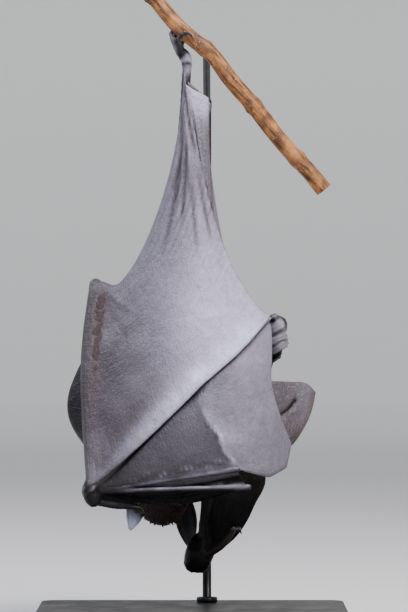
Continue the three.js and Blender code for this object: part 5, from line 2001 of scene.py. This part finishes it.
class Nodes:
    """A node tree in the making."""

    def __init__(self, tree: bpy.types.NodeTree) -> None:
        """Starts with the tree empty."""
        self.tree = tree
        tree.nodes.clear()

    def add(self, kind: str, *wires: object, out: int | str = 0, **settings: object) -> object:
        """Adds a node.

        Args:
            kind: its type, where "ShaderNode" may be left out.
            wires: for each input in turn a value or a socket to link, None to leave one as it is, or
                one dictionary by the inputs' names or numbers.
            out: the output that is wanted.
            settings: its own properties.

        Returns:
            That output's socket, or the node if it has none.
        """
        node = self.tree.nodes.new(kind if "Node" in kind else f"ShaderNode{kind}")
        for name, value in settings.items():
            setattr(node, name, value)
        given = wires[0] if wires and isinstance(wires[0], dict) else dict(enumerate(wires))
        for name, value in given.items():
            self.wire(node, name, value)
        return node.outputs[out] if node.outputs else node

    def wire(self, node: bpy.types.Node, name: str | int, value: object) -> None:
        """Sets an input of a node, or links a socket to it."""
        if isinstance(value, bpy.types.NodeSocket):
            self.tree.links.new(value, node.inputs[name])
        elif value is not None:
            node.inputs[name].default_value = value


class Recipe(Nodes):
    """A material in the making: a Principled surface and the nodes that feed it."""

    def __init__(self, name: str) -> None:
        """Starts an empty material of the given name."""
        self.material = bpy.data.materials.new(name)
        self.material.use_nodes = True
        super().__init__(self.material.node_tree)
        self.shader = self.add("BsdfPrincipled").node
        self.add("OutputMaterial", self.shader.outputs[0])
        self.place = self.add("TexCoord", out="Object")

    def surface(self, **wires: object) -> bpy.types.Material:
        """Sets inputs of the surface, with _ for the spaces in their names, and gives the material."""
        for name, value in wires.items():
            self.wire(self.shader, name.replace("_", " "), value)
        return self.material

    def clouds(self, size: float, detail: float = 4, stretch: Point = (1, 1, 1), at: object = None) -> object:
        """A cloudy pattern from 0 to 1 with features of the given size in millimetres.

        Args:
            size: of its features.
            detail: how many finer layers it has.
            stretch: how much finer it is along each axis.
            at: places in millimetres that it follows, in place of the object's own coordinates.

        Returns:
            Its socket.
        """
        wanted = tuple(s / (size * (MM if at is None else 1.0)) for s in stretch)
        moved = self.add("Mapping", {"Vector": at or self.place, "Scale": wanted})
        return self.add("TexNoise", {"Vector": moved, "Scale": 1.0, "Detail": detail})

    def layers(self, *reliefs: tuple[object, float, float]) -> object:
        """Normals from layers of relief: for each its height, its depth in millimetres and its strength."""
        normal = None
        for height, depth, strength in reliefs:
            wires = {"Height": height, "Distance": depth * MM, "Strength": strength, "Normal": normal}
            normal = self.add("Bump", wires)
        return normal


def rgba(shade: str) -> tuple[float, float, float, float]:
    """An sRGB hex colour for a colour socket."""
    return (*linear(shade), 1.0)


@dataclass(frozen=True)
class BatSkin:
    """Living skin: thin leathery wing skin with fine wrinkles, and darker skin over bones and body."""

    mottle: float = 5.0
    vein: float = 13.0
    cell: float = 0.9
    wrinkle: float = 1.7

    def material(self) -> bpy.types.Material:
        """The material. Fine cells break up the gloss, as the net of elastic fibres does in wing skin."""
        r = Recipe("bat_skin")
        leather = r.add("Attribute", out="Fac", attribute_name="leather")
        web, tint = (r.add("Attribute", out="Vector", attribute_name=name) for name in ("web", "tint"))
        mesh = {"Vector": r.place, "Scale": 1 / (self.vein * MM)}
        net = r.add("TexVoronoi", mesh, feature="DISTANCE_TO_EDGE")
        colour = tint
        for pattern, low, high, dark, pale in (
            (r.clouds(self.mottle, 5), 0.25, 0.75, 0.86, 1.13),
            (r.clouds(1.3, 3), 0.62, 0.7, 1.0, 0.72),  # freckles
            (net, 0.0, 0.05, 0.88, 1.0),  # veins
        ):
            factor = r.add("MapRange", pattern, low, high, dark, pale)
            colour = r.add("VectorMath", colour, None, None, factor, operation="SCALE")
        folds = (
            (r.clouds(6, 4), 2.4, 0.5),
            (r.clouds(self.wrinkle, 3, (1, 0.18, 1), web), 0.9, 0.7),
            (r.clouds(self.wrinkle * 1.7, 3, (0.2, 1, 1), web), 0.9, 0.6),
            (r.clouds(1.5, 3), 0.6, 0.7),
        )
        on_wing = [
            (r.add("Math", high, leather, operation="MULTIPLY"), depth, force) for high, depth, force in folds
        ]
        cells = r.add("TexVoronoi", {"Vector": r.place, "Scale": 1 / (self.cell * MM)})
        rough = r.add("MapRange", r.clouds(4, 3), 0.3, 0.7, 0.34, 0.5)
        return r.surface(
            Base_Color=colour,
            Roughness=r.add("Math", rough, r.add("MapRange", leather, 0, 0.5, 0.16, 0.0)),
            Normal=r.layers(*on_wing, (cells, 0.2, 0.6)),
            Specular_IOR_Level=r.add("MapRange", tint, 0.0, 0.035, 0.08, 0.36),
        )


@dataclass(frozen=True)
class Fur:
    """Short dense fur: each lock darker at its root, matt with a faint gloss along it."""

    def material(self) -> bpy.types.Material:
        """The material. A fine grain along each lock stands for its hairs."""
        r = Recipe("bat_fur")
        tint = r.add("Attribute", out="Vector", attribute_name="tint")
        hairs = r.add("MapRange", r.clouds(0.5, 2), 0.3, 0.7, 0.75, 1.3)
        colour = r.add("VectorMath", tint, None, None, hairs, operation="SCALE")
        normal = r.layers((r.clouds(0.35, 2), 0.1, 0.6))
        return r.surface(Base_Color=colour, Roughness=0.62, Normal=normal, Specular_IOR_Level=0.35)


@dataclass(frozen=True)
class Claw:
    """Horn of the claws: near black, glossy, paler where it is thin at the point."""

    def material(self) -> bpy.types.Material:
        """The material. Fine growth lines run along the claw."""
        r = Recipe("claw_horn")
        lines = r.clouds(0.5, 3)
        thin = r.add("MapRange", r.add("Attribute", out="Fac", attribute_name="along"), 0.55, 1.0, 0.0, 0.6)
        colour = r.add("Mix", {0: thin, 6: rgba("#14110f"), 7: rgba("#4a3a2c")}, out=2, data_type="RGBA")
        tone, rough = (r.add("MapRange", lines, 0.3, 0.7, low, high) for low, high in ((0.8, 1.3), (0.2, 0.38)))
        colour = r.add("VectorMath", colour, None, None, tone, operation="SCALE")
        return r.surface(Base_Color=colour, Roughness=rough, Normal=r.layers((lines, 0.06, 0.5)))


@dataclass(frozen=True)
class Eye:
    """A wet eye: black pupil, brown iris and a dark rim."""

    def material(self) -> bpy.types.Material:
        """The material. The iris is streaked from the pupil outwards."""
        r = Recipe("eye_wet")
        gaze = r.add("Attribute", out="Fac", attribute_name="gaze")
        streaks = r.add("MapRange", r.clouds(0.35, 3), 0.35, 0.65, 0.6, 1.5)
        iris = r.add("VectorMath", tuple(linear("#5a2c10")), None, None, streaks, operation="SCALE")
        share = r.add("MapRange", gaze, 0.36, 0.42)
        inner = r.add("Mix", {0: share, 6: rgba("#020202"), 7: iris}, out=2, data_type="RGBA")
        share = r.add("MapRange", gaze, 0.86, 1.0)
        colour = r.add("Mix", {0: share, 6: inner, 7: rgba("#120a07")}, out=2, data_type="RGBA")
        return r.surface(Base_Color=colour, Roughness=0.06, Coat_Weight=0.6, Coat_Roughness=0.03)


@dataclass(frozen=True)
class Bark:
    """Smooth young bark with fine cracks along it, and pale wood at the cut ends."""

    def material(self) -> bpy.types.Material:
        """The material. The value "bark" is the place round and along the branch, and "cut" the radius."""
        r = Recipe("bark")
        place = r.add("Attribute", out="Vector", attribute_name="bark")
        cut, sawn = (r.add("Attribute", out="Fac", attribute_name=name) for name in ("cut", "sawn"))
        fibres, cracks = r.clouds(2.2, 6, (1, 0.14, 1), place), r.clouds(0.9, 5, (1, 0.12, 1), place)
        rings_of_wood = r.add("Math", r.add("Math", cut, 5.2, operation="MULTIPLY"), operation="SINE")
        share = r.add("MapRange", rings_of_wood, -0.6, 0.9)
        wood = r.add("Mix", {0: share, 6: rgba("#d3b382"), 7: rgba("#a97f4e")}, out=2, data_type="RGBA")
        share = r.add("MapRange", r.clouds(11, 5), 0.35, 0.65)
        colour = r.add("Mix", {0: share, 6: rgba("#6b3f20"), 7: rgba("#b87a3c")}, out=2, data_type="RGBA")
        share = r.add("MapRange", fibres, 0.34, 0.56)
        colour = r.add("Mix", {0: share, 6: rgba("#3a2214"), 7: colour}, out=2, data_type="RGBA")
        for share, other in (
            (r.add("MapRange", r.clouds(6, 4), 0.6, 0.74, 0.0, 0.22), rgba("#a39a88")),  # lichen
            (r.add("MapRange", sawn, 0.4, 0.6), wood),
        ):
            colour = r.add("Mix", {0: share, 6: colour, 7: other}, out=2, data_type="RGBA")
        normal = r.layers((fibres, 0.5, 0.5), (cracks, 0.25, 0.5), (r.clouds(0.7, 2), 0.12, 0.4))
        rough = r.add("MapRange", fibres, 0.3, 0.7, 0.75, 0.45)
        return r.surface(Base_Color=colour, Roughness=rough, Normal=normal)


@dataclass(frozen=True)
class Lenticel:
    """The corky breathing spots of young bark: pale, rough and raised."""

    def material(self) -> bpy.types.Material:
        """The material."""
        r = Recipe("bark_lenticel")
        grain = r.clouds(0.4, 3)
        share = r.add("MapRange", grain, 0.35, 0.65)
        colour = r.add("Mix", {0: share, 6: rgba("#8f7a60"), 7: rgba("#c5ab86")}, out=2, data_type="RGBA")
        return r.surface(Base_Color=colour, Roughness=0.9, Normal=r.layers((grain, 0.1, 0.7)))


@dataclass(frozen=True)
class BlackSteel:
    """Blackened steel rod, brushed round and faintly oiled."""

    def material(self) -> bpy.types.Material:
        """The material."""
        r = Recipe("black_steel")
        brushed = r.clouds(0.6, 3, (1, 1, 0.08))
        rough = r.add("MapRange", brushed, 0.3, 0.7, 0.3, 0.46)
        share = r.add("MapRange", r.clouds(9, 3), 0.3, 0.7)
        colour = r.add("Mix", {0: share, 6: rgba("#232526"), 7: rgba("#313335")}, out=2, data_type="RGBA")
        relief = r.layers((brushed, 0.02, 0.5))
        return r.surface(Base_Color=colour, Metallic=0.85, Roughness=rough, Normal=relief)


@dataclass(frozen=True)
class Lacquer:
    """Dark satin lacquer over wood, with the faintest orange peel."""

    def material(self) -> bpy.types.Material:
        """The material."""
        r = Recipe("dark_lacquer")
        share = r.add("MapRange", r.clouds(5, 5, (0.08, 1, 1)), 0.3, 0.7)
        colour = r.add("Mix", {0: share, 6: rgba("#262321"), 7: rgba("#33302d")}, out=2, data_type="RGBA")
        rough = r.add("MapRange", r.clouds(22, 3), 0.3, 0.7, 0.34, 0.48)
        return r.surface(Base_Color=colour, Roughness=rough, Normal=r.layers((r.clouds(1.4, 2), 0.03, 0.4)))


@dataclass(frozen=True)
class Paper:
    """The studio's plain pale backdrop paper, lit from behind where the lamps don't reach."""

    glow: float = 0.4

    def material(self) -> bpy.types.Material:
        """The material."""
        r = Recipe("backdrop_paper")
        share = r.add("MapRange", r.clouds(1.5, 2), 0.3, 0.7)
        colour = r.add("Mix", {0: share, 6: rgba("#dddcd8"), 7: rgba("#e3e2de")}, out=2, data_type="RGBA")
        far = r.add("Attribute", out="Fac", attribute_name="glow")
        return r.surface(
            Base_Color=colour,
            Roughness=0.95,
            Specular_IOR_Level=0.1,
            Emission_Color=rgba("#e4e6ea"),
            Emission_Strength=r.add("Math", far, self.glow, operation="MULTIPLY"),
        )


# ------------------------------------------------------------------ perch and stand


@dataclass(frozen=True)
class Stand:
    """The display stand: a lacquered base, a steel post and the arm that holds the perch."""

    width: float = 250.0
    depth: float = 220.0
    height: float = 14.0
    corner: float = 12.0
    bevel: float = 1.5
    lid: float = 6.0  # how far inside the edge the slab's top and bottom faces start
    base_sides: int = 96
    rod_sides: int = 48
    post_at: tuple[float, float] = (12.0, 84.0)
    post_radius: float = 3.6
    post_top: float = 428.0
    arm_radius: float = 3.0
    arm_drop: float = 5.0
    arm_reach: float = 0.425  # share of the branch's length where the arm ends

    def base(self) -> Shell:
        """The base: a slab with rounded corners and softened edges."""
        turn = np.linspace(0, 2 * math.pi, self.base_sides, endpoint=False) + math.pi / self.base_sides
        way = np.stack([np.cos(turn), np.sin(turn)], 1)
        centre = np.sign(way) * (vec(self.width, self.depth) / 2 - self.corner)
        quarter = np.linspace(0, 1, 5) * math.pi / 2
        soft = [(self.bevel * (1 - math.sin(a)), self.bevel * (1 - math.cos(a))) for a in quarter]
        top = [(inset, self.height - rise) for inset, rise in soft[::-1]]
        profile = [(self.lid, 0.0), *soft, *top, (self.lid, self.height)]
        outlines = [
            np.column_stack([centre + way * (self.corner - inset), np.full(len(turn), level)])
            for inset, level in profile
        ]
        return rings(np.array(outlines)).outward()

    def post(self) -> Shell:
        """The post, with a collar where it stands in the base and a softened top."""
        low, top, r = self.height + 0.3, self.post_top, self.post_radius
        profile = (
            (low, r + 4.4), (low + 0.4, r + 5), (low + 3.2, r + 5), (low + 4, r + 4.4), (low + 4.2, r + 0.6),
            (low + 4.6, r), (low + 60, r), (top - 60, r), (top - 0.9, r), (top - 0.25, r - 0.3), (top, r - 1),
        )
        return self.turned(np.array([(*self.post_at, level) for level, _ in profile]), [w for _, w in profile])

    def arm(self) -> Shell:
        """The arm, from a small clamp on the post to the middle of the branch."""
        start, r = vec(*self.post_at, self.post_top - self.arm_drop), self.arm_radius
        way = PERCH.curve()(np.array([self.arm_reach]))[0] - start
        reach = float(np.linalg.norm(way))
        steps = (
            (-4.6, r + 0.5), (-4.2, r + 1.0), (4.2, r + 1.0), (4.7, r + 0.5), (5, r), (12, r),
            (reach - 2, r), (reach, r),
        )
        return self.turned(np.array([start + unit(way) * s for s, _ in steps]), [w for _, w in steps])

    def turned(self, path: Array, radii: Sequence[float]) -> Shell:
        """A straight turned piece: a circle of the given radius at each place of its path."""
        way = unit(path[-1] - path[0])
        across = unit(np.cross(way, vec(0.3, 0.2, 1) if abs(way[2]) < 0.9 else vec(1, 0, 0)))
        turn = (np.arange(self.rod_sides) / self.rod_sides * 2 * math.pi)[:, None]
        spoke = across * np.cos(turn) + np.cross(way, across) * np.sin(turn)
        return rings(path[:, None] + spoke * np.array(radii)[:, None, None]).outward()


# ------------------------------------------------------------------ studio


@dataclass(frozen=True)
class Studio:
    """Backdrop, lights and camera."""

    camera_at: Point = (9.6, -3000, 257.6)
    frame_height: float = 489.6
    aim: Point = (0, 0, 260)  # where the lamps look
    floor: float = 7500.0  # how far out the paper lies flat
    cove: float = 1000.0  # radius of its sweep up
    wall: float = 2600.0  # how high it goes
    glow: tuple[float, float] = (900, 5500)  # how far out its own light starts and is full
    sides: int = 96
    flat_rows: int = 12

    def backdrop(self, finish: bpy.types.Material) -> None:
        """Paper that covers the floor and sweeps up into a low wall far away, the same from every side."""
        bend = np.linspace(0, math.pi / 2, 16)
        flat = [10, *np.linspace(600, self.floor, self.flat_rows)[:-1]]
        reach = np.array([*flat, *(self.floor + self.cove * np.sin(bend)), self.floor + self.cove])
        level = np.array([*np.zeros(self.flat_rows), *(self.cove * (1 - np.cos(bend))), self.wall])
        turn = np.arange(self.sides) / self.sides * 2 * math.pi
        high = np.repeat(level[:, None], self.sides, 1)
        around = np.outer(reach, np.cos(turn)), np.outer(reach, np.sin(turn)), high
        made = rings(np.stack(around, -1), closed_ends=False)
        made.values["glow"] = smooth(*self.glow, np.repeat(reach, self.sides))
        paper = thing("backdrop", made)
        paper.data.materials.append(finish)
        paper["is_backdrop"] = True

    def light(self, name: str, at: Point, size: float, power: float, shade: str) -> None:
        """A soft square lamp that looks at the model.

        Args:
            name: its name.
            at: where it hangs.
            size: the length of its side.
            power: in watts.
            shade: its colour.
        """
        lamp = bpy.data.lights.new(name, "AREA")
        lamp.shape, lamp.size, lamp.energy, lamp.color = "SQUARE", size * MM, power, linear(shade)
        made = placed(name, lamp)
        made.location = vec(*at) * MM
        made.rotation_euler = Vector(vec(*self.aim) - vec(*at)).to_track_quat("-Z", "Y").to_euler()

    def camera(self) -> None:
        """A level camera far enough away to see the model nearly without perspective."""
        lens = bpy.data.cameras.new("camera")
        lens.sensor_width, lens.clip_end = 36, 100
        lens.lens = 36 * -self.camera_at[1] / self.frame_height
        made = placed("camera", lens)
        made.location, made.rotation_euler = vec(*self.camera_at) * MM, (math.pi / 2, 0, 0)
        bpy.context.scene.camera = made

    def build(self) -> None:
        """Sets the studio up."""
        self.backdrop(Paper().material())
        self.light("key", (900, -1300, 2100), 1300, 98, "#fdf8f4")
        self.light("sky", (-300, -900, 2500), 1800, 44, "#d5dcff")
        self.light("rim", (-1300, 900, 1500), 900, 16, "#eef1ff")
        world = bpy.data.worlds.new("studio")
        world.use_nodes = True
        sky = world.node_tree.nodes["Background"].inputs
        sky[0].default_value, sky[1].default_value = rgba("#cfd4dd"), 0.26
        bpy.context.scene.world = world
        self.camera()


# ------------------------------------------------------------------ the whole

LIMB_NODES = ("wrist", "thumb", "forearm", "upper_arm", "metacarpal_5", "fingertip_5", "digit_4", "digit_3")
TOE_CLAW, THUMB_CLAW = (1.5, 1.35, 0.95, 0.25), (2.5, 2.2, 1.3, 0.3)  # radii from root to point
WEB_NODES = ("body_membrane", "hand_membrane", "shoulder_membrane")
SKIN_NODES = (
    "foot_left", "foot_right", "leg_left_shank", "leg_right_shank", "leg_left_thigh", "leg_right_thigh",
    "head", "ear_left", "ear_right", "neck", "trunk", "tail_membrane",
    *(f"wing_{side}_{limb}" for side in ("left", "right") for limb in LIMB_NODES),
    *(f"wing_{side}_{web}" for side in ("left", "right") for web in WEB_NODES),
    "wing_left_finger_fold", "wing_left_thumb_web", "wing_left_tip_membrane",
)


def finish_piece(
    piece: bpy.types.Object, material: bpy.types.Material, nodes: Sequence[str] = ()
) -> None:
    """Gives a piece its material and its place in the frame, and logs it.

    Args:
        piece: the object.
        material: its finish.
        nodes: the frame's nodes that it stands for.
    """
    piece.data.materials.clear()
    piece.data.materials.append(material)
    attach(piece, "root")
    if nodes:
        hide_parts(*nodes)
    LOG.info("%s: %d faces", piece.name, len(piece.data.polygons))


def flesh() -> list[Shell]:
    """Every shell of the bat's skin."""
    feet = Feet()
    shells = [*Torso().shells(), Head().shell()]
    shells.append(Ear(root=(-41.5, 5, 106), tip=(-50.4, 20, 77.6), hollow=(-0.5, -0.85, 0)).shell())
    # The right ear gets almost none of the painted sheen.
    shells.append(Ear(root=(-7, 6, 98), tip=(-1, 14, 63), hollow=(0.35, -0.92, 0), sheen=0.06).shell())
    for leg in feet.legs():
        shells += leg.shells()
    shells += [feet.tail_membrane(), feet.heel_web()]
    for form in (LEFT, RIGHT):
        shells += Wing(form).shells()
    return shells


def main() -> None:
    """Builds the model piece by piece."""
    logging.basicConfig(level=logging.INFO, format="%(name)s: %(message)s")
    Studio().build()
    head, feet = Head(), Feet()
    horn, wet = Claw().material(), Eye().material()

    shells = flesh()
    skin = Skin().build(shells)
    finish_piece(skin, BatSkin().material(), SKIN_NODES)
    fur = Fur().material()
    for piece in Coat().grow(shells, skin):
        finish_piece(piece, fur)

    for name, hand in (("left", 1), ("right", -1)):
        finish_piece(thing(f"bat_eye_{name}", eyeball(head, hand)), wet, [f"eye_{name}"])
    for name, path in (("left", feet.left_claw), ("right", feet.right_claw)):
        claws = together([claw(path(k), TOE_CLAW) for k in range(5)])
        nodes = [f"foot_{name}_claw_{k + 1}" for k in range(5)]
        finish_piece(thing(f"bat_claws_{name}", claws), horn, nodes)
    for form in (LEFT, RIGHT):
        nail = thing(f"bat_thumb_claw_{form.side}", claw(form.thumb_claw, THUMB_CLAW))
        finish_piece(nail, horn, [f"wing_{form.side}_thumb_claw"])

    branch = thing("perch", PERCH.branch())
    finish_piece(branch, Bark().material(), ["perch_branch"])
    corky = Lenticel().material()
    finish_piece(PERCH.lenticels(branch, corky), corky)
    stand, steel = Stand(), BlackSteel().material()
    finish_piece(thing("base", stand.base()), Lacquer().material(), ["stand_base"])
    finish_piece(thing("post", stand.post()), steel, ["stand_post"])
    finish_piece(thing("arm", stand.arm()), steel, ["stand_arm"])

    boxes = {"cad": CAD_BOX, "visual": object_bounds()}
    {name: [[float(v) for v in corner] for corner in box] for name, box in boxes.items()}


if __name__ == "__main__":
    main()
